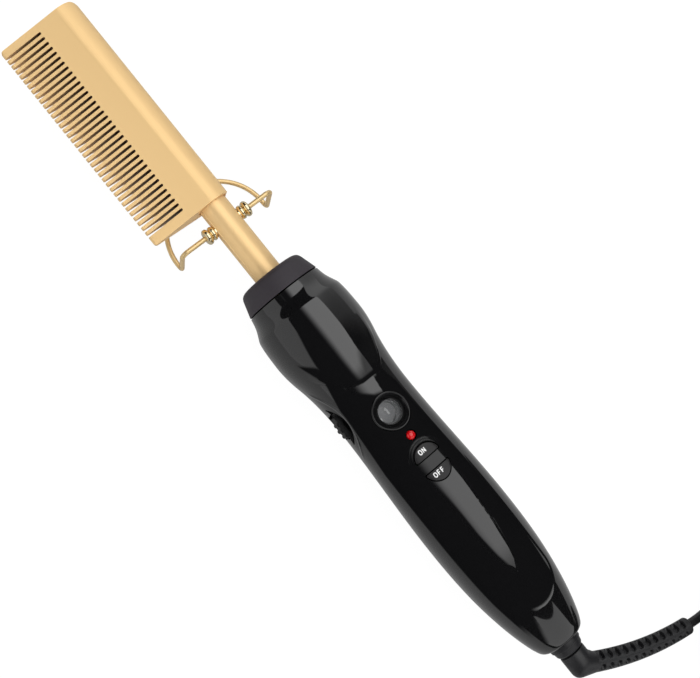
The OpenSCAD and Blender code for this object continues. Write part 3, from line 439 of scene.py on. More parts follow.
# ---------------------------------------------------------------- Heater, sensor and leads
# A white ceramic rod in the spine, a bead thermistor behind it, plain leads to the board and a
# fuse in one of them. They are only seen with the housing open.
ceramic = finish("ceramic", (226, 222, 212), 0.55, size=0.8, spread=0.04)
lead_skin = finish("lead_skin", (214, 205, 180), 0.6, size=0.5, spread=0.08)
bare_lead = finish("bare_lead", (200, 200, 202), 0.3, metal=1.0, size=0.3)
bead = finish("sensor_bead", (188, 92, 52), 0.35, size=0.5)
fuse_case = finish("fuse_case", (205, 195, 160), 0.3, metal=0.8, size=0.6)


def paint(node, material):
    """Gives a node's own mesh a material."""
    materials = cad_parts[node].data.materials
    materials.clear()
    materials.append(material)


for node, material in (("heater_rod", ceramic), ("heater_leads", lead_skin), ("thermistor", bead),
                       ("sensor_leads", bare_lead), ("thermal_fuse", fuse_case)):
    paint(node, material)

# ---------------------------------------------------------------- Stand bosses
# Two turned brass bosses, pressed through the tube's wall. Each has a neck, a groove and a
# polished disc with a hole for the wire.
brass = finish("polished_brass", (252, 232, 190), 0.14, metal=1.0, size=0.4, spread=0.05, uneven=0.03,
               bump=0.003)
PIVOT_X = -53.2
BOSS_PROFILE = ((4.9, 0.01), (4.9, 1.9), (5.8, 1.9), (5.9, 2.3), (6.4, 2.75), (7.1, 2.8), (7.65, 2.4),
                (7.8, 1.9), (7.9, 1.75), (8.05, 2.3), (8.25, 2.85), (8.7, 3.12), (9.3, 3.15), (9.8, 2.95),
                (10.15, 2.45), (10.3, 1.8), (10.3, 1.05), (6.3, 1.0), (6.3, 0.01))


def turned(profile, turns, side, at):
    """A profile of (place along y, radius) turned round the line of the pivots."""
    a = np.linspace(0, 2 * math.pi, turns, endpoint=False)
    rings_of = [np.column_stack([r * np.cos(a), np.full_like(a, side * y), r * np.sin(a)])
                for y, r in profile]
    return np.array(rings_of) + at


for side in (-1, 1):
    name = "boss_spine_side" if side > 0 else "boss_tooth_side"
    boss = turned(BOSS_PROFILE, 64, side, (PIVOT_X, 0, AXIS_Z / MM)) * MM
    place(name, skin(name, boss), "handle", "boss_brass", brass, "stand_bosses", sharp=50)

# ---------------------------------------------------------------- Wire stand
# One bent brass wire: an arm in each boss, two legs and a bow that lies on the table.
WIRE_R = 0.95
LEG_LEAN = math.radians(5)
LEG_Y = 20.8
ARM_BEND_R = 2.6
FOOT_BEND_R = 2.0
ARM_START = 6.55
TABLE_Z = -18.6


def arc(middle, first, second, r, start, end, n):
    """Points on a circle: middle + r (cos a) first + r (sin a) second, a in degrees."""
    a = np.radians(np.linspace(start, end, n))[:, None]
    return np.asarray(middle) + r * (np.cos(a) * np.asarray(first) + np.sin(a) * np.asarray(second))


def stand_path():
    """Half the wire from its end in the boss to the bow's middle, then its mirror image."""
    x, y, z = (1, 0, 0), (0, 1, 0), (0, 0, 1)
    foot_z = TABLE_Z + WIRE_R
    lean_s, lean_c = math.sin(LEG_LEAN), math.cos(LEG_LEAN)
    leg_l = -(foot_z + FOOT_BEND_R * (1 + lean_s)) / lean_c
    foot_x = leg_l * lean_s - FOOT_BEND_R * lean_c
    down = np.array([lean_s, 0, -lean_c])
    arm = np.column_stack([np.zeros(8), np.linspace(ARM_START, LEG_Y - ARM_BEND_R, 8), np.zeros(8)])
    elbow = arc(down * ARM_BEND_R + (0, LEG_Y - ARM_BEND_R, 0), y, -down, ARM_BEND_R, 90, 0, 14)[1:]
    leg = down * np.linspace(ARM_BEND_R, leg_l, 8)[1:, None] + (0, LEG_Y, 0)
    foot = arc((foot_x, LEG_Y, foot_z + FOOT_BEND_R), x, z, FOOT_BEND_R, math.degrees(LEG_LEAN), -90,
               13)[1:]
    bow = arc((foot_x, 0, foot_z), y, (-1, 0, 0), LEG_Y, 0, 90, 32)[1:]
    half = np.concatenate([arm, elbow, leg, foot, bow])
    return np.concatenate([half, (half * [1, -1, 1])[-2::-1]]) + [PIVOT_X, 0, -TABLE_Z]


ring = np.linspace(0, 2 * math.pi, 20, endpoint=False)
wire_outline = np.column_stack([np.cos(ring), np.sin(ring)]) * WIRE_R
wire_brass = finish("wire_brass", (240, 208, 150), 0.32, metal=0.6, size=0.5, spread=0.08, uneven=0.06,
                    bump=0.004)
place("wire_stand", skin("wire_stand", sweep(stand_path(), wire_outline, (1, 0, -1)) * MM), "stand",
      "wire_brass", wire_brass, "stand_wire", sharp=50)

# ---------------------------------------------------------------- Heat collar
# A grey heat-proof moulding between the tube and the shells, with a rounded front edge and a
# fine shadow gap behind it. A mica washer seals its nose.


def lathe(profile, turns=96, axis="x"):
    """A profile of (place along the axis, radius) turned round it: a grid of rings."""
    p = np.asarray(profile, float)
    a = np.linspace(0, 2 * math.pi, turns, endpoint=False)
    c, s = np.cos(a)[None, :], np.sin(a)[None, :]
    along, r = np.broadcast_to(p[:, :1], (len(p), turns)), p[:, 1:2]
    if axis == "x":
        return np.stack([along, r * c, r * s], -1)
    return np.stack([r * c, r * s, along], -1)


def rounded(points, radii, n=5):
    """A line of corner points with a round of its own radius at each inner corner."""
    p = [np.asarray(q, float) for q in points]
    out = [p[0]]
    for before, at, after, r in zip(p, p[1:], p[2:], radii):
        if not r:
            out.append(at)
            continue
        a, b = unit(before - at), unit(after - at)
        half = math.acos(float(np.clip(a @ b, -1, 1))) / 2
        reach = min(r / math.tan(half), np.linalg.norm(before - at) * 0.49,
                    np.linalg.norm(after - at) * 0.49)
        for t in np.linspace(0, 1, n):
            out.append((1 - t) ** 2 * (at + a * reach) + 2 * t * (1 - t) * at + t * t * (at + b * reach))
    return np.array(out + [p[-1]])


UP = np.array([0, 0, -TABLE_Z])
collar_profile = rounded(
    [(-28.5, 5.95), (-28.5, 12.95), (-19.9, 15.5), (-19.9, 5.95), (-28.5, 5.95)],
    [3.2, 0.3, 0], 9)
collar_skin = finish("collar_plastic", (50, 45, 51), 0.55, size=0.35, spread=0.05, uneven=0.05,
                     bump=0.006)
place("collar", skin("collar", (lathe(collar_profile) + UP) * MM, caps=False), "handle",
      "collar_plastic", collar_skin, "heat_collar")
paint("heat_washer", finish("mica", (206, 192, 152), 0.5, size=0.6, spread=0.1))

# ---------------------------------------------------------------- Front and back shell
# Two gloss black ABS mouldings that meet at mid height, where their broken edges leave a fine
# seam. The front one has a shallow panel with the raised tongue of the buttons in it.
OUTLINE = [(-19.4, 15.5, 0.21), (-15.5, 16.4, 0.33), (-11.2, 18.3, 0.44), (-9.6, 18.7, 0.14),
           (0, 19.25, 0.02), (11.5, 17.99, -0.22), (19, 16.74, -0.12), (33, 15.9, 0), (88.5, 17.68, 0),
           (120, 15.7, -0.155), (138.5, 11.56, -0.32), (142.58, 9.92, -0.51)]
END_ROUND = (141.4, 7.6, 2.6)
TAIL_X = 144.0
WALL = 2.0
SEAM_EDGE = 0.22
WINDOW_X = 37.9
LAMP_X = 49.0
BUTTONS_X = 61.1
PANEL_HALF = 11.8
PANEL_START_X = 74.5
PANEL_END_X = 126.0
PANEL_DEEP = 0.35
TONGUE_HALF = 4.9
TONGUE_TIP_X = 110.5
PANEL_RIM = 0.07
HOOD_END_X = 23.8
HOOD_UP = 0.5
HOOD_FALL = 3.2
LIP_X = 30.4                            # the ridge over the wheel's opening is part of a circle
LIP_BELOW = 12.4
LIP_R = 21.2
LIP_UP = 0.3
DULL_START = ([-60, -54.6, -38.6, -30, -24, -17, -4, 7, 9.5, 20, 30, 40],
              [2, 4.4, 9, 20, 24.7, 26.1, 29.3, 30.4, 24.2, 24, 22.6, 19])
DULL_SPINE_SIDE = ([24, 31, 46, 60, 83, 116], [28, 36, 39.5, 41, 44, 40])
DULL_TOOTH_SIDE = ([4.4, 16, 27, 55, 80, 116, 134], [54.6, 44.6, 56, 63.5, 60, 58, 53.6])
HOOD_FADE = ([-20, -9.8, 3.3, 18.7], [24.5, 23.7, 22.3, 14])
HOOD_LOW_END = ([-17, -12, -9, -1.7, 9, 12, 24], [18, 18, 26.4, 30.7, 37.3, 38.6, 40])
BUTTON_L = 4.9
BUTTON_W = 10.5
BUTTON_SPACE = 5.0


def cubic(a, b, n):
    """n points of the cubic with the radii and slopes of two stations, without the second."""
    t = np.arange(n) / n
    run = b[0] - a[0]
    return np.column_stack([
        a[0] + run * t,
        (2 * t ** 3 - 3 * t ** 2 + 1) * a[1] + (t ** 3 - 2 * t ** 2 + t) * run * a[2]
        + (3 * t ** 2 - 2 * t ** 3) * b[1] + (t ** 3 - t ** 2) * run * b[2]])


def handle_profile(step):
    """The handle's outline as (place, radius) points about a step apart: the cubic curves and
    the quarter round at the tail."""
    parts = []
    for a, b in zip(OUTLINE, OUTLINE[1:]):
        parts.append(cubic(a, b, max(2, round((b[0] - a[0]) / step))))
    turn = np.radians(np.linspace(63, 0, 9))
    parts.append(np.column_stack([END_ROUND[0] + END_ROUND[2] * np.cos(turn),
                                  END_ROUND[1] + END_ROUND[2] * np.sin(turn)]))
    return np.concatenate(parts)


FINE_PROFILE = handle_profile(0.5)


def handle_r(x):
    """The handle's radius at x in millimetres."""
    return np.interp(x, FINE_PROFILE[:, 0], FINE_PROFILE[:, 1])


def soft_step(d, width):
    """0 below -width/2, 1 above width/2, and smooth between."""
    t = np.clip(d / width + 0.5, 0, 1)
    return t * t * (3 - 2 * t)


def panel_inside(x, y):
    """How far inside the panel's outline a point is: straight sides and a round end."""
    return PANEL_HALF - np.hypot(np.maximum(x - (PANEL_END_X - PANEL_HALF), 0), y)


def tongue_inside(x, y):
    """How far inside the tongue a point is: round the buttons, then narrowing to a blunt tip
    that lies a little towards the teeth."""
    middle = -1.0 * between(x, 70, 100)
    half = np.interp(x, [BUTTONS_X + 12, 91, 101.6, 106.5, TONGUE_TIP_X, TONGUE_TIP_X + 2],
                     [TONGUE_HALF, 4.3, 3.1, 2.0, 0, -2])
    return half - np.abs(y - middle)


def tongue_share(x, y):
    """1 on the tongue and 0 off it, with a crisp edge on the spine's side and a soft one on
    the teeth's."""
    crisp = np.where(y > -1, 0.9, 2.8)
    return soft_step(x - (BUTTONS_X - 7.5), 1.0) * soft_step(tongue_inside(x, y), crisp)


def hood_edge(y):
    """Where the bulge's hood ends, behind which the waist starts: a curve that starts sooner on
    the tooth side."""
    return HOOD_END_X - np.where(y > 0, 0.53 * np.maximum(y - 6.5, 0) ** 1.55, 0.053 * y * y)


def hood_gain(x, y):
    """The hood's low swell before its edge, and its short steep fall at the edge."""
    before = hood_edge(y) - x
    swell = np.where(before < HOOD_FALL, np.sqrt(np.maximum(1 - (1 - before / HOOD_FALL) ** 2, 0)),
                     1 - between(before, HOOD_FALL, 13))
    return HOOD_UP * np.where(before > 0, swell, 0) * (1 - between(np.abs(y), 12.5, 15.5))


def arch_ridges(x, y):
    """Two fine ridges round the back of the first button."""
    back = BUTTONS_X - (BUTTON_SPACE / 2 + BUTTON_L - BUTTON_W / 2)
    far = np.hypot(x - back, y)
    ridge = sum(np.exp(-((far - BUTTON_W / 2 - gap) / 0.22) ** 2) for gap in (0.95, 1.85))
    return 0.09 * ridge * (1 - between(x, BUTTONS_X - 5.5, BUTTONS_X - 3))


def slot_lip(x, y):
    """A low ridge on the tooth side that runs over the wheel's opening in a flat arc."""
    z = np.sqrt(np.maximum(handle_r(x) ** 2 - y * y, 0))
    beyond = np.hypot(x - LIP_X, z + LIP_BELOW) - LIP_R
    return LIP_UP * np.exp(-(beyond / 0.36) ** 2) * (y < 0) * between(z, 1.5, 4)


def front_relief(x, y):
    """What the front surface loses in millimetres: the panel, which fades in behind the buttons
    and has a soft edge on the tooth side, less the tongue with its rim, the hood, the ridges
    behind the first button and the one over the wheel's opening."""
    edge = np.where(y > 0, 0.7, 0.7 + 4 * soft_step(-y - 4, 4))
    lost = PANEL_DEEP * soft_step(panel_inside(x, y), edge) * soft_step(x - PANEL_START_X, 30)
    rim = PANEL_RIM * np.exp(-((tongue_inside(x, y) - 0.35) / 0.3) ** 2) * (y > -1) * (
        between(x, BUTTONS_X, BUTTONS_X + 8) * (1 - between(x, 88, 96)))
    return lost * (1 - tongue_share(x, y)) - hood_gain(x, y) - arch_ridges(x, y) - rim - slot_lip(x, y)


def half_shell(rows, columns, relief, upper):
    """A half of the housing: each ring is an outer arc with rounded ends and an inner arc. The
    relief is taken off the outer one."""
    side = 1 if upper else -1
    a = np.linspace(0, math.pi, columns)
    inner_a = np.linspace(math.pi, 0, 25)
    grid = []
    for x, r in rows:
        lift = SEAM_EDGE / r
        out_a = np.concatenate([[0.02 / r, 0.25 * lift, 0.6 * lift], a[1:-1], [
            math.pi - 0.6 * lift, math.pi - 0.25 * lift, math.pi - 0.02 / r]])
        edge = np.minimum(out_a, math.pi - out_a) * r
        sunk = np.clip(SEAM_EDGE - edge, 0, SEAM_EDGE)
        outer_r = r - (SEAM_EDGE - np.sqrt(np.maximum(SEAM_EDGE ** 2 - sunk ** 2, 0)))
        y = outer_r * np.cos(out_a)
        outer_r = outer_r - relief(np.full_like(y, x), y)
        inner_x = min(x, TAIL_X - WALL) if x > 100 else x
        inner_r = max(min(r, handle_r(min(x, 140.1))) - WALL, 5.9)
        outer = np.column_stack([np.full_like(y, x), outer_r * np.cos(out_a),
                                 side * outer_r * np.sin(out_a)])
        inner = np.column_stack([np.full(25, inner_x), inner_r * np.cos(inner_a),
                                 side * (0.02 + inner_r * np.sin(inner_a))])
        grid.append(np.concatenate([outer, inner]))
    return np.array(grid)


def capped(name, grid):
    """A mesh over closed rings whose two ends are single flat faces."""
    mesh = skin(name, grid, caps=False)
    work = bmesh.new()
    work.from_mesh(mesh)
    bmesh.ops.holes_fill(work, edges=[e for e in work.edges if e.is_boundary], sides=0)
    bmesh.ops.recalc_face_normals(work, faces=work.faces)
    work.to_mesh(mesh)
    work.free()
    return mesh


def cut(mesh, *cutters):
    """A mesh with the cutters' volumes taken out of it, as a mesh of its own."""
    body = put("body", mesh)
    tools = [put("tool", cutter) for cutter in cutters]
    for tool in tools:
        taking = body.modifiers.new("cut", "BOOLEAN")
        taking.object, taking.operation, taking.solver = tool, "DIFFERENCE", "EXACT"
    evaluated = body.evaluated_get(bpy.context.evaluated_depsgraph_get())
    result = bpy.data.meshes.new_from_object(evaluated)
    for used in [body, *tools]:
        bpy.data.objects.remove(used)
    result.name = mesh.name
    return result


def post(x, y, z0, z1, r, turns=64):
    """A plain cylinder along z, in millimetres from the handle's axis."""
    grid = lathe([(z0, r), (z1, r)], turns, "z") + [x, y, 0] + UP
    return skin("post", grid * MM)


def prism(name, first, last):
    """A closed form between two outlines of equally many points."""
    n = len(first)
    mesh = bpy.data.meshes.new(name)
    mesh.from_pydata(((np.concatenate([first, last]) + UP) * MM).tolist(), [],
                     [list(range(n)), list(range(n, 2 * n))] +
                     [[i, (i + 1) % n, n + (i + 1) % n, n + i] for i in range(n)])
    return tidy(mesh)


def slab(outline, z0, z1):
    """A prism over an outline of (x, y) points between two heights."""
    o = np.asarray(outline, float)
    return prism("slab", *[np.column_stack([o, np.full(len(o), z)]) for z in (z0, z1)])


def button_outline(toward, grow=0.0, corner=0.8, n=40):
    """The outline of a half-round button: a flat edge towards the other one and a round back.
    Its corners are rounded by a running mean."""
    r = BUTTON_W / 2 + grow
    flat = BUTTONS_X + toward * (BUTTON_SPACE / 2 - grow)
    middle = BUTTONS_X + toward * (BUTTON_SPACE / 2 + BUTTON_L - BUTTON_W / 2)
    lean = math.asin(min(abs(flat - middle) / r, 1)) * (1 if toward * (flat - middle) > 0 else -1)
    a = np.linspace(lean, math.pi - lean, n)
    back = np.column_stack([middle + toward * r * np.sin(a), -toward * r * np.cos(a)])
    loop = np.concatenate([back, back[:1]])
    along = np.concatenate([[0], np.cumsum(np.hypot(*np.diff(loop, axis=0).T))])
    evenly = np.linspace(0, along[-1], 4 * n, endpoint=False)
    even = np.column_stack([np.interp(evenly, along, loop[:, k]) for k in (0, 1)])
    reach = round(corner / (along[-1] / (4 * n)))
    return sum(np.roll(even, k, axis=0) for k in range(-reach, reach + 1)) / (2 * reach + 1)


def wheel_slot_cutter():
    """The opening of the wheel on the side: an arc with short curled ends over a narrower part."""
    top, arch_r, half = 8.2, 9.43, 8.1
    a = np.linspace(-math.asin(half / arch_r), math.asin(half / arch_r), 32)
    arch = np.column_stack([arch_r * np.sin(a), top - arch_r + arch_r * np.cos(a)])
    right = np.array([(8.15, 3.1), (7.6, 2.7), (5.7, 2.45), (5.3, 2.0), (5.2, -4.2)])
    arch = np.concatenate([arch, right, right[::-1] * [-1, 1]]) + [31.5, 0]
    return prism("slot", *[np.column_stack([arch[:, 0], np.full(len(arch), y), arch[:, 1]])
                           for y in (-40, 0)])


def panel_shine(x, y):
    """1 on the glossy skin and 0 on the panel's dull one. The dull one starts behind the hood
    and in a wedge on the tooth side, and ends along a line on each side and round the tail. The
    hood's end is half dull, and its steep fall is quite dull."""
    turned_by = np.degrees(np.arcsin(np.clip(y / handle_r(x), -1, 1)))
    start = np.interp(turned_by, *DULL_START)
    spine_side = np.interp(x, *DULL_SPINE_SIDE)
    tooth_side = np.interp(x, *DULL_TOOTH_SIDE)
    dull = (between(x, start - 0.8, start + 0.9) * between(-turned_by, -spine_side, -spine_side + 1.5)
            * (1 - between(-turned_by, tooth_side - 1, tooth_side + 1)))
    end = np.where(y > -6, soft_step(panel_inside(x, y) - 0.2, 0.8), between(-x, -136, -126))
    keys = 0.86 - 0.35 * between(-x, -BUTTONS_X - 7, -BUTTONS_X - 4) - 0.5 * between(x, 98, 110)
    shown = tongue_share(x, y) * keys * between(x, BUTTONS_X - 4, BUTTONS_X - 2)
    dull = dull * end * (1 - np.maximum(shown, np.clip(6 * arch_ridges(x, y), 0, 0.5)))
    fading = np.interp(turned_by, *HOOD_FADE)
    line = np.exp(-((tongue_inside(x, y) + 0.45) / 0.2) ** 2) * (y > -1) * (
        between(x, BUTTONS_X + 8, BUTTONS_X + 10) * (1 - between(x, 86, 100)))
    dull = dull * (1 - line)
    before = hood_edge(y) - x
    low_end = np.interp(x, *HOOD_LOW_END)
    low = between(-turned_by, 3, 12) * (1 - between(-turned_by, low_end - 1, low_end + 1)) * (before > 0)
    hood = 0.7 * between(x, fading - 6, fading) * between(before, -0.3, 0) * (turned_by > -32)
    fall = between(before, -0.35, -0.05) * (1 - between(before, 1.1, 1.9)) * (np.abs(turned_by) < 42)
    return (1 - dull) * (1 - hood) * (1 - fall) * (1 - low)


gloss_black, panel_black = [
    finish(name, (17, 17, 18), 0.06, coat=0.5, size=2.5, spread=0.1, uneven=0.012, bump=0.0008, shine=0.7)
    for name in ("gloss_black", "panel_black")]
by_attribute(panel_black, "shine", ("Specular IOR Level", 0.0, 0.7), ("Coat Weight", 0.0, 0.5))
front_mesh = capped("front_shell", (half_shell(handle_profile(0.4), 190, front_relief, True) + UP) * MM)
front_mesh = cut(front_mesh, post(WINDOW_X, 0, 2, 30, 7.35, 96), post(LAMP_X, 0, 2, 30, 2.0),
                 slab(button_outline(-1, 0.34), 2, 30), slab(button_outline(1, 0.34), 2, 30),
                 wheel_slot_cutter())
at = spots(front_mesh)
mark(front_mesh, "shine", panel_shine(at[:, 0], at[:, 1]))
place("front_housing", front_mesh, "handle", "gloss_black", panel_black, "front_shell", sharp=32)
back_mesh = capped("back_shell",
                   (half_shell(handle_profile(1.0), 90, lambda x, y: 0 * y, False) + UP) * MM)
SCREWS = ((-6, 11.6), (-6, -11.6), (110, 7.4), (110, -7.4))
back_mesh = cut(back_mesh, *[post(x, y, -30, -6, 2.7) for x, y in SCREWS], wheel_slot_cutter(),
                slab([(-30, -30), (30, -30), (30, 30), (-30, 30)], -40, TABLE_Z))
place("back_housing", back_mesh, "handle", "gloss_black", gloss_black, "back_shell", sharp=32)
screw_steel = finish("screw_steel", (186, 186, 190), 0.25, metal=1.0, size=0.3)
place("case_screws", from_solid("housing_screws"), "handle", "steel", screw_steel, "housing_screws",
      sharp=30)

# ---------------------------------------------------------------- Window, lens and dial
# A black ring with a fine rim and an inner collar, a slightly milky domed lens in it, and the
# wheel's dial below with plain numbers.
BEZEL_R = 7.2
LENS_R = 4.4
LENS_TOP = 13.7


def hoop(a, r, z):
    """A level ring at angles a, of radius r at height z."""
    return np.column_stack([r * np.cos(a), r * np.sin(a), np.full_like(a, z)])


def bezel_grid():
    """The ring's surface: it follows the handle outside, has a fine raised rim, slopes down as a
    funnel and ends in the bright collar of the lens."""
    low = ((LENS_R - 0.3, 10.6), (LENS_R - 0.3, 10.9), (LENS_R + 0.05, 10.9), (LENS_R + 0.05, 13.3),
           (LENS_R + 0.12, 13.5), (LENS_R + 0.32, 13.56), (LENS_R + 0.5, 13.45), (LENS_R + 0.56, 13.1),
           (LENS_R + 0.75, 12.95), (LENS_R + 0.95, 13.05))
    a = np.linspace(0, 2 * math.pi, 128, endpoint=False)
    grid = [hoop(a, r, z) for r, z in low]

    def level(r, up):
        x, y = r * np.cos(a), r * np.sin(a)
        return np.column_stack([x, y, np.sqrt(handle_r(WINDOW_X + x) ** 2 - y ** 2) + up])
    inner, outer = grid[-1], level(BEZEL_R - 0.75, -0.15)
    for t in (0.25, 0.5, 0.75):
        grid.append(inner * (1 - t) + outer * t)
    grid += [outer, level(BEZEL_R - 0.6, 0.0), level(BEZEL_R - 0.4, 0.1), level(BEZEL_R - 0.2, 0.1),
             level(BEZEL_R - 0.04, 0.02), level(BEZEL_R, -0.15), level(BEZEL_R, -0.8)]
    for r in (BEZEL_R, LENS_R - 0.3):
        grid.append(hoop(a, r, 6.0))
    grid.append(grid[0])
    return np.array(grid) + [WINDOW_X, 0, 0] + UP


bezel_black = finish("bezel_black", (15, 15, 16), 0.12, coat=0.2, shine=0.4, size=1.0, spread=0.1,
                     bump=0.002)
place("dial_bezel", skin("dial_bezel", bezel_grid() * MM, caps=False), "handle", "gloss_black",
      bezel_black, "window_bezel", sharp=28)


def lens_profile():
    """A disc with a domed top and a rounded edge."""
    r = np.concatenate([np.linspace(0, 1, 14) * (LENS_R - 0.2), [LENS_R - 0.06, LENS_R]])
    top = LENS_TOP - 0.75 * (r / LENS_R) ** 2
    top[-2:] -= (0.05, 0.25)
    low = np.column_stack([[10.95, 10.95], [LENS_R, 0]])
    return np.concatenate([np.column_stack([top, r]), low])


def milky(name, tint, share):
    """A clear plastic with a share of diffuse light in it, uneven by a fine noise."""
    made, tree, shader = new_material(name)
    shader.inputs["Base Color"].default_value = linear(tint)
    shader.inputs["Roughness"].default_value = 0.12
    cloud = add(tree, "TexNoise", {"Vector": add(tree, "TexCoord").outputs["Object"], "Scale": 500})
    amount = add(tree, "MapRange", {"Value": cloud.outputs["Fac"], "To Min": share * 0.9,
                                    "To Max": share * 1.1})
    mix = add(tree, "MixShader", {"Fac": amount.outputs[0], 1: add(tree, "BsdfTransparent").outputs[0],
                                  2: shader.outputs[0]})
    feed(tree, tree.nodes["Material Output"].inputs["Surface"], mix.outputs[0])
    return made


lens_clear = milky("lens_clear", (205, 208, 210), 0.07)
lens_grid = lathe(lens_profile(), 72, "z") + [WINDOW_X, 0, 0] + UP
place("dial_lens", skin("dial_lens", lens_grid * MM, caps=False), "handle", "clear_lens", lens_clear,
      "window_lens", sharp=40)

# ---------------------------------------------------------------- Temperature wheel
# A ribbed black thumbwheel on the potentiometer. The dial disc is part of it and carries
# pale grey enamel with the plain numbers 1 to 6.
WHEEL_X, WHEEL_Y = 33.0, -3.0
WHEEL_R = 13.4
RIBS = 32
DIAL_R = 9.8
DIAL_TOP = 5.2
NUMBER_TURN = -46.7                     # degrees from each number to the next
NUMBER_SIZE = 1.3                       # half a number's height
NUMBER_W = 0.5                          # of its strokes


def wheel_rim():
    """The rim: its radius swells by a rib's round 32 times in a turn, and its edges are rounded.
    The hollow top holds the dial's disc."""
    a = np.linspace(0, 2 * math.pi, RIBS * 14, endpoint=False)
    phase = np.abs(((a * RIBS / (2 * math.pi) + 0.5) % 1) - 0.5) * 2
    rib = 0.55 * np.sqrt(np.maximum(1 - (phase / 0.62) ** 2, 0))
    rings = []
    for z, back, share in ((-3.2, 0.5, 0.0), (-3.15, 0.15, 0.6), (-2.9, 0.0, 1.0), (2.9, 0.0, 1.0),
                           (3.15, 0.15, 0.6), (3.2, 0.5, 0.0)):
        r = WHEEL_R - 0.55 - back + share * rib
        rings.append(hoop(a, r, z))
    for z, r in ((3.2, WHEEL_R - 2.4), (1.2, WHEEL_R - 2.4), (1.2, 3.6), (4.2, 3.6), (4.2, DIAL_R),
                 (5.05, DIAL_R), (DIAL_TOP, DIAL_R - 0.15), (DIAL_TOP, 0.01)):
        rings.append(hoop(a, r, z))
    return np.array(rings) + [WHEEL_X, WHEEL_Y, 0] + UP


wheel_black = finish("wheel_black", (15, 15, 16), 0.5, size=0.5, spread=0.12, bump=0.004, shine=0.2)
place("thumbwheel", skin("thumbwheel", wheel_rim() * MM), "wheel", "wheel_plastic", wheel_black,
      "temperature_wheel", sharp=40)
dial_grey = finish("dial_grey", (150, 150, 152), 0.4, size=0.5, spread=0.06, bump=0.002)
disc = lathe([(DIAL_TOP + 0.03, 0.01), (DIAL_TOP + 0.03, DIAL_R - 0.3), (DIAL_TOP + 0.005, DIAL_R - 0.25)],
             96, "z") + [WHEEL_X, WHEEL_Y, 0] + UP
place("dial_face", skin("dial_face", disc * MM), "wheel", "wheel_plastic", dial_grey, sharp=60)
ink_white = finish("ink_white", (246, 246, 246), 0.5, size=0.4, spread=0.02)
STROKES = {
    "1": [[(-0.35, 0.55), (0.1, 1.0), (0.1, -1.0)]],
    "2": [[(-0.6, 0.6), (-0.3, 1.0), (0.3, 1.0), (0.6, 0.6), (0.55, 0.15), (-0.6, -1.0), (0.65, -1.0)]],
    "3": [[(-0.6, 0.8), (-0.2, 1.0), (0.35, 0.95), (0.55, 0.55), (0.3, 0.1), (0.0, 0.05), (0.35, 0.0),
           (0.62, -0.5), (0.35, -0.95), (-0.2, -1.0), (-0.62, -0.75)]],
    "4": [[(0.3, -1.0), (0.3, 1.0), (-0.6, -0.35), (0.65, -0.35)]],
    "5": [[(0.55, 1.0), (-0.45, 1.0), (-0.5, 0.15), (0.1, 0.3), (0.55, -0.05), (0.55, -0.6),
           (0.2, -0.98), (-0.3, -1.0), (-0.6, -0.75)]],
    "6": [[(0.45, 0.9), (0.0, 1.0), (-0.45, 0.55), (-0.58, -0.3), (-0.3, -0.92), (0.25, -0.98),
           (0.58, -0.5), (0.3, 0.02), (-0.2, 0.1), (-0.55, -0.25)]],
    "O": [[(0, 1.0), (0.45, 0.8), (0.62, 0.3), (0.62, -0.3), (0.45, -0.8), (0, -1.0), (-0.45, -0.8),
           (-0.62, -0.3), (-0.62, 0.3), (-0.45, 0.8), (0, 1.0)]],
    "N": [[(-0.55, -1.0), (-0.55, 1.0), (0.55, -1.0), (0.55, 1.0)]],
    "F": [[(-0.45, -1.0), (-0.45, 1.0), (0.55, 1.0)], [(-0.45, 0.05), (0.4, 0.05)]],
}


def ribbon(points, width):
    """A closed flat outline round a line of points: its left edge out, its right edge back."""
    p = np.asarray(points, float)
    way = unit(np.diff(p, axis=0))
    left = np.column_stack([-way[:, 1], way[:, 0]])
    joint = [left[0]]
    for a, b in zip(left, left[1:]):
        m = a + b
        joint.append(m / max(m @ m / 2, 0.6))
    joint.append(left[-1])
    joint = np.array(joint)
    return p + joint * width / 2, p - joint * width / 2


def letter(text, width, lay, thick=0.03):
    """A character's strokes as a thin mesh. `lay` takes (x, y, height) rows to the piece."""
    points, faces = [], []
    for stroke in STROKES[text]:
        dense = [np.array(stroke[0])]
        for a, b in zip(stroke, stroke[1:]):
            n = max(1, int(np.hypot(b[0] - a[0], b[1] - a[1]) / 0.25))
            dense += [np.array(a) + (np.array(b) - np.array(a)) * k / n for k in range(1, n + 1)]
        left, right = ribbon(dense, width)
        n, first = len(left), len(points)
        for h in (0.0, thick):
            points += [(*q, h) for q in left] + [(*q, h) for q in right]
        for i in range(n - 1):
            a, b, c, d = first + i, first + i + 1, first + n + i + 1, first + n + i
            faces += [(a, b, c, d), (a + 2 * n, b + 2 * n, c + 2 * n, d + 2 * n),
                      (a, b, b + 2 * n, a + 2 * n), (d, c, c + 2 * n, d + 2 * n)]
        for i in (0, n - 1):
            a, d = first + i, first + n + i
            faces.append((a, d, d + 2 * n, a + 2 * n))
    mesh = bpy.data.meshes.new("letter " + text)
    mesh.from_pydata((lay(np.array(points)) * MM).tolist(), [], faces)
    return tidy(mesh, 1e-8)


def joined(name, meshes):
    """Several meshes as one."""
    work = bmesh.new()
    for mesh in meshes:
        work.from_mesh(mesh)
    bmesh.ops.recalc_face_normals(work, faces=work.faces)
    made = bpy.data.meshes.new(name)
    work.to_mesh(made)
    work.free()
    return made


